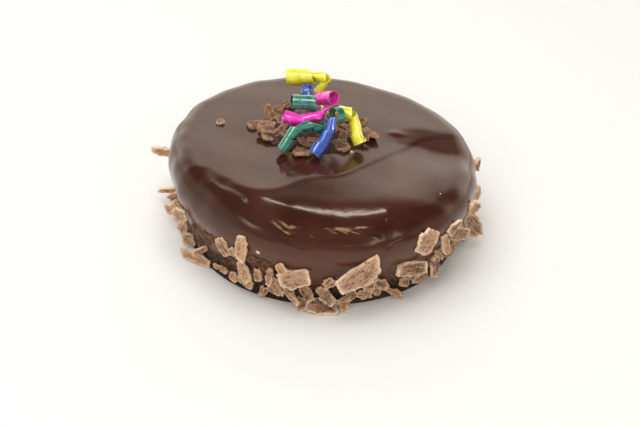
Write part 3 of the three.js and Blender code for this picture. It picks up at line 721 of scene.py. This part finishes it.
def broken_flake(thickness, corners, random, own_tint=None):
    """A flake with chipped edges and an uneven face, flat about z = 0, with its point values."""
    count = len(corners) * EDGE_POINTS
    sides = np.roll(corners, -1, axis=0) - corners
    outline = np.array([corner + side * k / EDGE_POINTS
                        for corner, side in zip(corners, sides) for k in range(EDGE_POINTS)])
    beside = np.roll(outline, 1, axis=0) + np.roll(outline, -1, axis=0)
    outline = (1 - 2 * EDGE_ROUNDING) * outline + EDGE_ROUNDING * beside
    coarse = np.repeat(random.normal(0, 1, math.ceil(count / CHIP_RUN)), CHIP_RUN)[:count]
    chips = CHIP_DEPTH * (COARSE_CHIPS * coarse + FINE_CHIPS * random.normal(0, 1, count))
    outward = unit(outline)
    outline = outline + outward * np.clip(chips, *CHIP_LIMITS)[:, None]
    half_length, half_width = np.abs(outline).max(axis=0)
    # Three of these five draws are used, and the others keep the later draws as they are
    phase = random.uniform(0, 2 * np.pi, 5)
    bend = random.uniform(-FLAKE_BEND, FLAKE_BEND)
    twist = random.uniform(-FLAKE_TWIST, FLAKE_TWIST)
    tint = random.uniform(*FLAKE_TINT)
    if own_tint is not None:
        tint = own_tint
    grain_offset = random.uniform(-GRAIN_SPREAD, GRAIN_SPREAD, 3)
    ledge_heading = random.uniform(0, 2 * np.pi)
    ledge_place = random.uniform(*LEDGE_PLACE)
    ledge_depth = random.uniform(*LEDGE_DEPTH)

    def face(rings, sign):
        rows = []
        for scale, height in rings:
            x, y = (outline * scale).T
            sway = RIPPLE_SWAY * np.sin(2 * np.pi * x / RIPPLE_SWAY_LENGTH + phase[1])
            wavy = np.sin(2 * np.pi * y / RIPPLE_LENGTH + phase[0] + sway)
            swell = SWELL_HEADING[0] * x + SWELL_HEADING[1] * y
            wavy += np.sin(2 * np.pi * swell / SWELL_LENGTH + phase[2])
            wavy += random.normal(0, FACE_ROUGHNESS, count)
            across = x / half_length * np.cos(ledge_heading) + y / half_width * np.sin(ledge_heading)
            across -= LEDGE_SWAY * np.sin(LEDGE_SWAY_TURN * x / half_length)
            ledge = ledge_depth * fade_in(across, ledge_place, LEDGE_WIDTH)
            uneven = (FACE_RELIEF * height * wavy - ledge) * (scale < 1)
            rows.append(np.column_stack([x, y, sign * (0.5 * thickness * height + uneven)]))
        return np.vstack([*rows, (0, 0, sign * 0.5 * thickness)])

    front = face(FACE_RINGS, 1)
    back = face(BACK_RINGS, -1)
    bulge = outline + outward * random.normal(*WALL_BULGE, count)[:, None]
    wall = np.column_stack([bulge, random.normal(0, WALL_SWAY, count) * thickness])
    points = np.vstack([front, wall, back])
    grain = points + grain_offset
    points[:, 2] += bend * (points[:, 0] / half_length) ** 2
    points[:, 2] += twist * points[:, 0] * points[:, 1] / (half_length * half_width)

    wall_start = len(front)
    back_start = wall_start + count
    last = (len(FACE_RINGS) - 1) * count
    back_last = back_start + (len(BACK_RINGS) - 1) * count
    faces = ring_faces(len(FACE_RINGS), count) + fan_faces(last, count, last + count)
    faces += band_faces(wall_start, 0, count) + band_faces(back_start, wall_start, count)
    faces += flipped(ring_faces(len(BACK_RINGS), count, back_start))
    faces += flipped(fan_faces(back_last, count, back_last + count))
    front_shares, back_shares = ([scale for scale, _ in rings] for rings in (FACE_RINGS, BACK_RINGS))
    shares = np.repeat([*front_shares, 1, *back_shares], count)
    shares = np.append(np.insert(shares, last + count, 0), 0)
    # The edge value places the pale edge colour, which is partly a painted highlight
    values = {"edge": fade_in(shares, *PALE_FROM_SHARE), "tint": np.full(len(points), tint), "grain": grain}
    return points, faces, values


def turning(pitch, swing, turn):
    about_x = Matrix.Rotation(math.radians(pitch), 3, "X")
    about_y = Matrix.Rotation(math.radians(swing), 3, "Y")
    about_z = Matrix.Rotation(math.radians(turn), 3, "Z")
    return np.array(about_y @ about_x @ about_z)


def prism(thickness, corners):
    """The plain corners of a flake, on both its faces."""
    half = np.full(len(corners), thickness / 2)
    return np.vstack([np.column_stack([corners, half]), np.column_stack([corners, -half])])


def side_flake_placing(row, plain):
    """How a flake goes on the cake's side, as in the CAD part: a matrix and a shift."""
    azimuth, height, _, _, turn, lean, swing = row
    angle = math.radians(azimuth)
    outward = np.array([math.sin(angle), -math.cos(angle), 0])
    along = np.array([math.cos(angle), math.sin(angle), 0])
    matrix = np.column_stack([along, (0, 0, 1), outward]) @ turning(lean, swing, turn)
    shift = CAKE_RADIUS * outward + (0, 0, height)
    placed = plain @ matrix.T + shift
    reach = side_radius(placed[:, 2]) * outline_factor(np.arctan2(placed[:, 0], -placed[:, 1]))
    gap = (np.hypot(placed[:, 0], placed[:, 1]) - reach).min()
    return matrix, shift + (-FLAKE_EMBED - gap) * outward


def back_flakes(draw):
    rows = []
    for row in BACK_ROWS:
        ranges = (*BACK_SWAY, row["length"], row["width"], *BACK_TILT)
        for azimuth in np.arange(BACK_FROM, BACK_TO, row["step"]):
            around, up, *rest = (draw(*span) for span in ranges)
            rows.append((azimuth + around, row["height"] + up, *rest))
    return rows


def place_on_top(points, row):
    x, y, lift, _, _, turn, pitch, roll = row
    return points @ turning(roll, pitch, turn).T + (x, y, top_height(x, y) + lift)


def base_flakes(material, spot):
    """The flakes round the foot, the lone chip on the top and the stray crumbs, one of them a painted glint.
    """
    draw = Draws(FLAKE_SEED)
    random = np.random.default_rng(DETAIL_SEED)
    bodies = []
    for i, row in enumerate([*FRONT_FLAKES, *back_flakes(draw)]):
        _, _, length, width, *_ = row
        thickness, corners = flake_corners(draw, length, width)
        matrix, shift = side_flake_placing(row, prism(thickness, corners))
        points, faces, values = broken_flake(thickness, corners, random, FLAKE_TINTS.get(i))
        points = points @ matrix.T + shift
        points[:, 2] = np.maximum(points[:, 2], 0)
        bodies.append((points, faces, values))
    _, _, _, length, width, *_ = TOP_CHIP
    points, faces, values = broken_flake(*flake_corners(draw, length, width), random)
    bodies.append((place_on_top(points, TOP_CHIP), faces, values))
    for azimuth, down, size in STRAY_CRUMBS_AND_GLINT:
        points, faces = stray_crumb(size, random)
        place, directions = spot(azimuth, down)
        # Crumbs take the pale edge colour; on the second crumb this is a painted glint
        pale = np.ones(len(points))
        values = {"edge": pale, "tint": pale, "grain": points}
        bodies.append((points @ directions + place, faces, values))
    make_piece("base_flakes", *join(bodies), material, "shavings", sharp_angle=FLAKE_SHARP_ANGLE)


def heap_fill(draw):
    rows = []
    for radius, count in HEAP_RINGS:
        for i in range(count):
            angle = 2 * math.pi * (i + draw(*HEAP_SWAY)) / count
            x = HEAP_CENTRE[0] + HEAP_STRETCH * radius * math.cos(angle)
            y = HEAP_CENTRE[1] + radius * math.sin(angle)
            rows.append((x, y, *(draw(*span) for span in HEAP_FILL)))
    return rows


def heap_core():
    """Low lumpy mound under the shavings."""
    length, width, height = CORE_SIZE
    angle = 2 * np.pi * np.arange(CORE_ROUND) / CORE_ROUND
    rows = []
    for ring in range(1, CORE_RINGS + 1):
        tilt = 0.5 * math.pi * ring / CORE_RINGS
        x = HEAP_CENTRE[0] + 0.5 * length * math.sin(tilt) * np.cos(angle)
        y = HEAP_CENTRE[1] + 0.5 * width * math.sin(tilt) * np.sin(angle)
        rise = height * math.cos(tilt) * (1 + waves(x, y, *CORE_LUMPS)) if ring < CORE_RINGS else CORE_FOOT
        rows.append(np.column_stack([x, y, top_height(x, y) + rise]))
    bottom = np.array([*HEAP_CENTRE, top_height(*HEAP_CENTRE)])
    points = np.vstack([*rows, bottom + (0, 0, height), bottom])
    tip = CORE_RINGS * CORE_ROUND
    under = ring_faces(CORE_RINGS, CORE_ROUND) + fan_faces(tip - CORE_ROUND, CORE_ROUND, tip + 1)
    return points, fan_faces(0, CORE_ROUND, tip) + flipped(under), {}


def ribbon_trees():
    """The CAD ribbons as search trees, to keep the shavings clear of them."""
    trees = []
    for name in RIBBONS:
        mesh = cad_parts[name].data
        corners = [vertex.co.copy() for vertex in mesh.vertices]
        trees.append(BVHTree.FromPolygons(corners, [tuple(face.vertices) for face in mesh.polygons]))
    return trees


def meets_ribbon(points, faces, trees):
    corners = [Vector(point * MM) for point in points]
    own = BVHTree.FromPolygons(corners, faces)
    for tree in trees:
        if own.overlap(tree):
            return True
        if any(tree.find_nearest(corner, RIBBON_CLEARANCE * MM)[0] for corner in corners):
            return True
    return False


def top_shavings(material, core_material):
    """The heap on the top: shavings that clear the ribbons, and the mound under them."""
    draw = Draws(HEAP_SEED)
    random = np.random.default_rng(DETAIL_SEED + 1)
    trees = ribbon_trees()
    bodies = []
    for row in [*HEAP_SHAVINGS, *heap_fill(draw)]:
        _, _, _, length, width, *_ = row
        points, faces, values = broken_flake(*flake_corners(draw, length, width), random)
        points = place_on_top(points, row)
        if not meets_ribbon(points, faces, trees):
            bodies.append((points, faces, values))
    make_piece("top_shavings", *join(bodies), material, "shavings", node="shavings",
               sharp_angle=FLAKE_SHARP_ANGLE)
    make_piece("shavings_core", *heap_core(), core_material, "shavings")


# Curled ribbons

def run_on(stations):
    """Stations carried on past each curled end by half the strip's width, and how long each such run is."""
    rows = np.asarray(stations, dtype=float)
    half = 0.5 * RIBBON_WIDTH
    runs = []
    for end, before in ((rows[0], rows[1]), (rows[-1], rows[-2])):
        step = half * unit((end - before)[:3])
        runs.append([np.append(end[:3] + step, end[3])] if end[3] > RIBBON_PINCH_RADIUS else [])
    first, last = runs
    return np.vstack([*first, rows, *last]), half * len(first), half * len(last)


def transported_normals(tangent):
    """Directions across a spine that turn no more than it does."""
    first = tangent[0]
    axis = np.eye(3)[np.argmin(np.abs(first))]
    normals = [np.cross(first, unit(np.cross(first, axis)))]
    for before, after in zip(tangent[:-1], tangent[1:]):
        turn = np.cross(before, after)
        normal = normals[-1]
        if np.linalg.norm(turn) > SMALLEST_TURN:
            angle = math.acos(np.clip(before @ after, -1, 1))
            normal = np.array(Matrix.Rotation(angle, 3, Vector(unit(turn))) @ Vector(normal))
        normals.append(normal)
    return np.array(normals)


def curl(stations):
    """A strip that curls round a smooth spine. At each step: how far along the spine it is, its centre, its
    outward direction and its widthwise direction."""
    places = np.arange(len(stations))

    def spine(share):
        return curve(stations[:, :3], share * places[-1])

    share = np.linspace(0, 1, SPINE_DIVISIONS + 1)
    walked = np.linalg.norm(np.diff(spine(share), axis=0), axis=1)
    walked = np.concatenate([[0], np.cumsum(walked)])
    turns = walked[-1] / RIBBON_PITCH
    steps = math.ceil(turns * RIBBON_STEPS_PER_TURN)
    along = np.linspace(0, walked[-1], steps + 1)
    even = np.interp(along, walked, share)
    radius = np.interp(even * places[-1], places, stations[:, 3])
    ahead = spine(np.clip(even + SPINE_STEP, 0, 1))
    tangent = unit(ahead - spine(np.clip(even - SPINE_STEP, 0, 1)))
    normal = transported_normals(tangent)
    angle = 2 * np.pi * turns * np.arange(steps + 1) / steps
    radial = normal * np.cos(angle)[:, None] + np.cross(tangent, normal) * np.sin(angle)[:, None]
    centre = spine(even) + radial * radius[:, None]
    pinch = np.minimum(radius / RIBBON_PINCH_RADIUS, 1)[:, None]
    outward = unit(radial - tangent * RIBBON_SHINGLE * pinch)
    across = unit(tangent + radial * RIBBON_SHINGLE * pinch)
    return along, centre, outward, across * np.maximum(pinch, RIBBON_PINCH_WIDTH)


def ribbon_strip(stations):
    """The strip of one arm, trimmed square at its curled ends so that each end is a whole ring."""
    longer, run_before, run_after = run_on(stations)
    strip = curl(longer)
    walked = strip[0]
    half = 0.5 * RIBBON_WIDTH
    low = np.maximum(-half, run_before - walked) if run_before else np.full(len(walked), -half)
    high = np.minimum(half, walked[-1] - run_after - walked) if run_after else np.full(len(walked), half)
    kept = high - low > RIBBON_SLIVER
    walked, centre, outward, across, low, high = (rows[kept] for rows in (*strip, low, high))

    spots = np.linspace(-1, 1, RIBBON_ACROSS)
    section = [(spot, 1) for spot in spots] + [(spot, -1) for spot in spots[::-1]]
    points, offsets = [], []
    for spot, side in section:
        thin = 0.5 * RIBBON_THICKNESS * side * (1 - RIBBON_EDGE_THINNING * spot ** RIBBON_EDGE_POWER)
        offset = 0.5 * (low + high) + 0.5 * (high - low) * spot
        points.append(centre + across * offset[:, None] + outward * thin)
        offsets.append(offset)
    count = len(section)
    steps = len(walked)
    faces = ring_faces(steps, count)
    faces.append(tuple(range(count - 1, -1, -1)))
    faces.append(tuple(range((steps - 1) * count, steps * count)))
    edge = np.abs(np.tile([spot for spot, _ in section], steps)) ** RIBBON_PALE_POWER
    turned_length = 2 * np.pi * RIBBON_GRAIN_RADIUS / RIBBON_PITCH
    along = np.repeat(walked * turned_length, count)
    grain = np.column_stack([along, np.stack(offsets, axis=1).ravel(), np.zeros(len(along))])
    return np.stack(points, axis=1).reshape(-1, 3), faces, {"edge": edge, "grain": grain}


def ribbons():
    """Makes the ribbons, and returns a collection of them for the lights."""
    curled = bpy.data.collections.new("curled_ribbons")
    for name, arms in RIBBONS.items():
        strips = [ribbon_strip(stations) for stations in arms]
        piece = make_piece("curled_" + name, *join(strips), foil(name), name, node=name,
                           sharp_angle=RIBBON_SHARP_ANGLE)
        curled.objects.link(piece)
    return curled


# Materials

class Nodes:
    """Short calls to build a tree of shader nodes."""

    MIX_FACTOR, MIX_FIRST, MIX_SECOND, MIX_RESULT = 0, 6, 7, 2

    def __init__(self, tree):
        self.tree = tree

    def put(self, socket, value):
        """Links a value to a socket, or sets it there, a colour with full opacity."""
        if isinstance(value, bpy.types.NodeSocket):
            self.tree.links.new(value, socket)
        elif socket.type == "RGBA":
            socket.default_value = (*value, 1)
        else:
            socket.default_value = value

    def add(self, kind, inputs=None, **settings):
        node = self.tree.nodes.new(kind)
        for label, value in settings.items():
            setattr(node, label, value)
        for label, value in (inputs or {}).items():
            self.put(node.inputs[label], value)
        return node

    def shade(self, **inputs):
        """Gives the material's shader its inputs."""
        shader = self.tree.nodes["Principled BSDF"]
        for label, value in inputs.items():
            self.put(shader.inputs[label.replace("_", " ")], value)

    def place(self):
        """Where each spot of a piece is, in metres."""
        return self.add("ShaderNodeTexCoord").outputs["Object"]

    def value(self, name, kind="Fac"):
        return self.add("ShaderNodeAttribute", attribute_name=name).outputs[kind]

    def noise(self, vector, scale=1, detail=3, roughness=0.55):
        inputs = {"Vector": vector, "Scale": scale, "Detail": detail, "Roughness": roughness}
        return self.add("ShaderNodeTexNoise", inputs).outputs["Fac"]

    def ramp(self, factor, low, high):
        """From 0 to 1 as the factor goes softly from low to high."""
        inputs = {"Value": factor, "From Min": low, "From Max": high}
        return self.add("ShaderNodeMapRange", inputs, interpolation_type="SMOOTHSTEP").outputs["Result"]

    def between(self, factor, low, high):
        """From low to high as the factor goes from 0 to 1."""
        inputs = {"Value": factor, "To Min": low, "To Max": high}
        return self.add("ShaderNodeMapRange", inputs).outputs["Result"]

    def mix(self, factor, first, second, blend="MIX"):
        inputs = {self.MIX_FACTOR: factor, self.MIX_FIRST: first, self.MIX_SECOND: second}
        node = self.add("ShaderNodeMix", inputs, data_type="RGBA", blend_type=blend)
        return node.outputs[self.MIX_RESULT]

    def math(self, operation, first, second=0.0):
        return self.add("ShaderNodeMath", {0: first, 1: second}, operation=operation).outputs[0]

    def plus(self, first, second):
        return self.math("ADD", first, second)

    def times(self, first, second):
        return self.math("MULTIPLY", first, second)

    def bump(self, height, strength, distance, normal=None):
        inputs = {"Height": height, "Strength": strength, "Distance": distance * MM}
        if normal:
            inputs["Normal"] = normal
        return self.add("ShaderNodeBump", inputs).outputs["Normal"]

    def stretch(self, vector, scale):
        return self.add("ShaderNodeMapping", {"Vector": vector, "Scale": scale}).outputs["Vector"]


def new_material(name):
    material = bpy.data.materials.new(name)
    material.use_nodes = True
    return material, Nodes(material.node_tree)


def scaled(colour, share):
    return tuple(share * channel for channel in colour)


def glaze():
    """Poured chocolate, glossy on the top and duller at the side, with rough crumb where it is thin."""
    material, nodes = new_material("glaze")
    place = nodes.place()
    height = nodes.add("ShaderNodeSeparateXYZ", {0: place}).outputs["Z"]
    # Low on the side the glaze turns lighter: thinner glaze, and partly a painted reflection
    side = nodes.ramp(height, *GLAZE_SIDE_HEIGHTS)
    cloudy = nodes.ramp(nodes.noise(place, scale=45), low=0.35, high=0.68)
    poured = nodes.mix(side, nodes.mix(cloudy, GLAZE_DARK, GLAZE_LIGHT), GLAZE_SIDE)

    jumble = nodes.add("ShaderNodeTexNoise", {"Vector": place, "Scale": 500}).outputs["Color"]
    inputs = {0: jumble, "Scale": CRUMB_JUMBLE}
    shift = nodes.add("ShaderNodeVectorMath", inputs, operation="SCALE").outputs[0]
    jumbled = nodes.add("ShaderNodeVectorMath", {0: place, 1: shift}).outputs[0]
    cell = nodes.add("ShaderNodeTexVoronoi", {"Vector": jumbled, "Scale": 620}).outputs["Distance"]
    fine = nodes.noise(place, scale=300, detail=4, roughness=0.6)
    grainy = nodes.math("SUBTRACT", fine, nodes.times(cell, CRUMB_CELL_SHARE))
    rough = nodes.mix(nodes.ramp(grainy, low=0.16, high=0.42), CRUMB_DARK, CRUMB_LIGHT)
    # Painted shade: the crumb darkens towards the foot, behind the flakes
    rough = nodes.mix(nodes.ramp(height, *CRUMB_PAINTED_SHADE_HEIGHTS), rough, CRUMB_PAINTED_SHADE)

    patches = nodes.plus(nodes.value("crumb"), nodes.noise(place, scale=260, detail=4))
    share = nodes.ramp(nodes.times(patches, CRUMB_PATCH_SHARE), low=0.55, high=0.95)
    satin = nodes.math("MAXIMUM", nodes.value("satin"), side)
    dull = nodes.between(share, nodes.between(satin, *GLAZE_ROUGHNESS), CRUMB_ROUGHNESS)
    soft = nodes.bump(nodes.noise(place, scale=110, detail=2), strength=0.12, distance=0.6)
    normal = nodes.bump(nodes.times(grainy, share), strength=0.9, distance=0.9, normal=soft)
    nodes.shade(Base_Color=nodes.mix(share, poured, rough), Roughness=dull, Normal=normal,
                IOR=1.5, Specular_Tint=GLAZE_GLOSS)
    return material


def chocolate(name, dark, pale, pale_edge_and_highlight):
    """Dull chocolate with streaks along each flake, pale along its edges: broken chocolate, and partly a
    painted highlight where the edges catch the light.
    """
    material, nodes = new_material(name)
    place = nodes.place()
    grain = nodes.value("grain", "Vector")
    streaks = nodes.noise(nodes.stretch(grain, STREAK_SCALE), detail=4, roughness=0.6)
    mottle = nodes.noise(nodes.stretch(grain, MOTTLE_SCALE), detail=5, roughness=0.65)
    uneven = nodes.plus(streaks, mottle)
    tint = nodes.times(nodes.value("tint"), TINT_SHARE)
    paleness = nodes.plus(tint, nodes.times(uneven, UNEVEN_SHARE))
    face = nodes.mix(nodes.ramp(paleness, low=2.72, high=3.72), dark, pale)
    bloom = nodes.noise(nodes.stretch(grain, BLOOM_SCALE), detail=1)
    face = nodes.mix(nodes.ramp(bloom, low=0.45, high=0.6), face, BLOOM_TINT, "MULTIPLY")
    # Pale edges in patches: worn chocolate, and partly a painted highlight
    edge_wear_and_highlight = nodes.ramp(nodes.noise(place, scale=420), low=0.25, high=0.5)
    colour = nodes.mix(nodes.times(nodes.value("edge"), edge_wear_and_highlight), face, pale_edge_and_highlight)
    speckle = nodes.noise(place, scale=1500, roughness=0.7)
    colour = nodes.mix(nodes.ramp(speckle, low=0.52, high=0.75), colour, pale_edge_and_highlight)
    pits = nodes.noise(place, scale=700, detail=4, roughness=0.6)
    normal = nodes.bump(nodes.plus(uneven, pits), strength=0.9, distance=0.8)
    nodes.shade(Base_Color=colour, Roughness=0.72, Normal=normal, IOR=1.45)
    return material


def heap_shadow():
    """Dark crumbs under the shavings, darkened in part as painted shade between the shavings."""
    material, nodes = new_material("heap_core")
    lumps = nodes.noise(nodes.place(), scale=380, detail=4, roughness=0.6)
    colour = nodes.mix(nodes.ramp(lumps, low=0.4, high=0.7), CORE_DARK, CORE_LIGHT)
    normal = nodes.bump(lumps, strength=1.0, distance=1.2)
    nodes.shade(Base_Color=colour, Roughness=0.75, Normal=normal)
    return material


def foil(name):
    """Glossy foil, a little cloudy along the ribbon and paler at its edges."""
    deep, bright = RIBBON_COLOURS[name]
    material, nodes = new_material(name)
    cloudy = nodes.noise(nodes.stretch(nodes.value("grain", "Vector"), FOIL_SCALE), detail=2, roughness=0.5)
    colour = nodes.mix(nodes.ramp(cloudy, low=0.36, high=0.64), deep, bright)
    pale = tuple(FOIL_PALENESS + (1 - FOIL_PALENESS) * channel for channel in bright)
    colour = nodes.mix(nodes.times(nodes.value("edge"), FOIL_EDGE_SHARE), colour, pale)
    nodes.shade(Base_Color=colour, Metallic=0.15, Roughness=0.3, IOR=1.5,
                Coat_Weight=1.0, Coat_Roughness=0.14, Coat_IOR=1.85)
    return material


# Studio

def floor():
    half = FLOOR_SIZE / 2
    corners = [(-half, -half, 0), (half, -half, 0), (half, half, 0), (-half, half, 0)]
    mesh = bpy.data.meshes.new("floor")
    mesh.from_pydata(corners, [], [(0, 1, 2, 3)])
    material, nodes = new_material("pale_floor")
    cloudy = nodes.noise(nodes.place(), scale=6)
    colour = nodes.mix(cloudy, FLOOR_PALE, scaled(FLOOR_PALE, FLOOR_SHADE))
    nodes.shade(Base_Color=colour, Roughness=0.9)
    mesh.materials.append(material)
    plane = add_object("floor", mesh)


def surroundings():
    """Soft light from all round: a bright backdrop, a dark ceiling and fairly bright sides."""
    world = bpy.data.worlds.new("studio")
    world.use_nodes = True
    nodes = Nodes(world.node_tree)
    heading = nodes.add("ShaderNodeTexCoord").outputs["Generated"]
    split = nodes.add("ShaderNodeSeparateXYZ", {0: heading}).outputs
    angle = nodes.math("ARCTAN2", split["Z"], split["Y"])
    share = nodes.add("ShaderNodeMapRange", {"Value": angle, "From Max": math.pi}).outputs["Result"]
    ramp = nodes.add("ShaderNodeValToRGB", {"Fac": share})
    stops = ramp.color_ramp.elements
    while len(stops) < len(SURROUNDINGS):
        stops.new(0.5)
    for stop, (place, brightness) in zip(stops, SURROUNDINGS):
        stop.position = place
        stop.color = (*scaled(BACKDROP_TINT, brightness), 1)
    sideways = nodes.ramp(nodes.math("ABSOLUTE", split["X"]), *SIDE_RANGE)
    bright = nodes.mix(sideways, ramp.outputs["Color"], scaled(BACKDROP_TINT, SIDE_BRIGHTNESS))
    background = world.node_tree.nodes["Background"]
    nodes.put(background.inputs["Color"], bright)
    nodes.put(background.inputs["Strength"], SURROUND_STRENGTH)
    bpy.context.scene.world = world


def soft_light(name, size, power, place, glossy=True, colour=(1, 1, 1), shape="RECTANGLE", only=None):
    """A lamp aimed at the middle of the cake's foot, on everything or on one collection only."""
    light = bpy.data.lights.new(name, "AREA")
    light.shape = shape
    light.size, light.size_y = size
    light.energy = power
    light.color = colour
    lamp = add_object(name, light)
    lamp.location = place
    lamp.rotation_euler = (-Vector(place)).to_track_quat("-Z", "Y").to_euler()
    lamp.visible_camera = False
    lamp.visible_glossy = glossy
    lamp.light_linking.receiver_collection = only


def camera():
    """The photograph's camera, from its pitch, roll, distance and aim."""
    tilt = Matrix.Rotation(math.radians(90 - CAMERA_PITCH), 4, "X")
    turn = tilt @ Matrix.Rotation(math.radians(CAMERA_ROLL), 4, "Z")
    place = (Vector(CAMERA_AIM) + turn @ Vector((0, 0, CAMERA_DISTANCE))) * MM
    data = bpy.data.cameras.new("camera")
    data.sensor_fit = "HORIZONTAL"
    data.sensor_width = SENSOR_WIDTH
    data.lens = SENSOR_WIDTH * FOCAL_PX / PHOTO_WIDTH_PX
    data.clip_start = CLIP_START
    eye = add_object("camera", data)
    eye.matrix_world = Matrix.Translation(place) @ turn
    bpy.context.scene.camera = eye


glaze_spot = glazed_cake(glaze())
base_flakes(chocolate("flaked_chocolate", FLAKE_DARK, FLAKE_PALE, FLAKE_EDGE_AND_HIGHLIGHT), glaze_spot)
top_shavings(chocolate("shaved_chocolate", HEAP_DARK, HEAP_PALE, HEAP_EDGE_AND_HIGHLIGHT), heap_shadow())
curled_ribbons = ribbons()
floor()
surroundings()
for light_name, settings in LIGHTS.items():
    soft_light(light_name, **settings)
for settings in RIBBON_LIGHTS:
    soft_light("ribbons", only=curled_ribbons, **settings)
camera()
bpy.context.scene.view_settings.view_transform = "Standard"
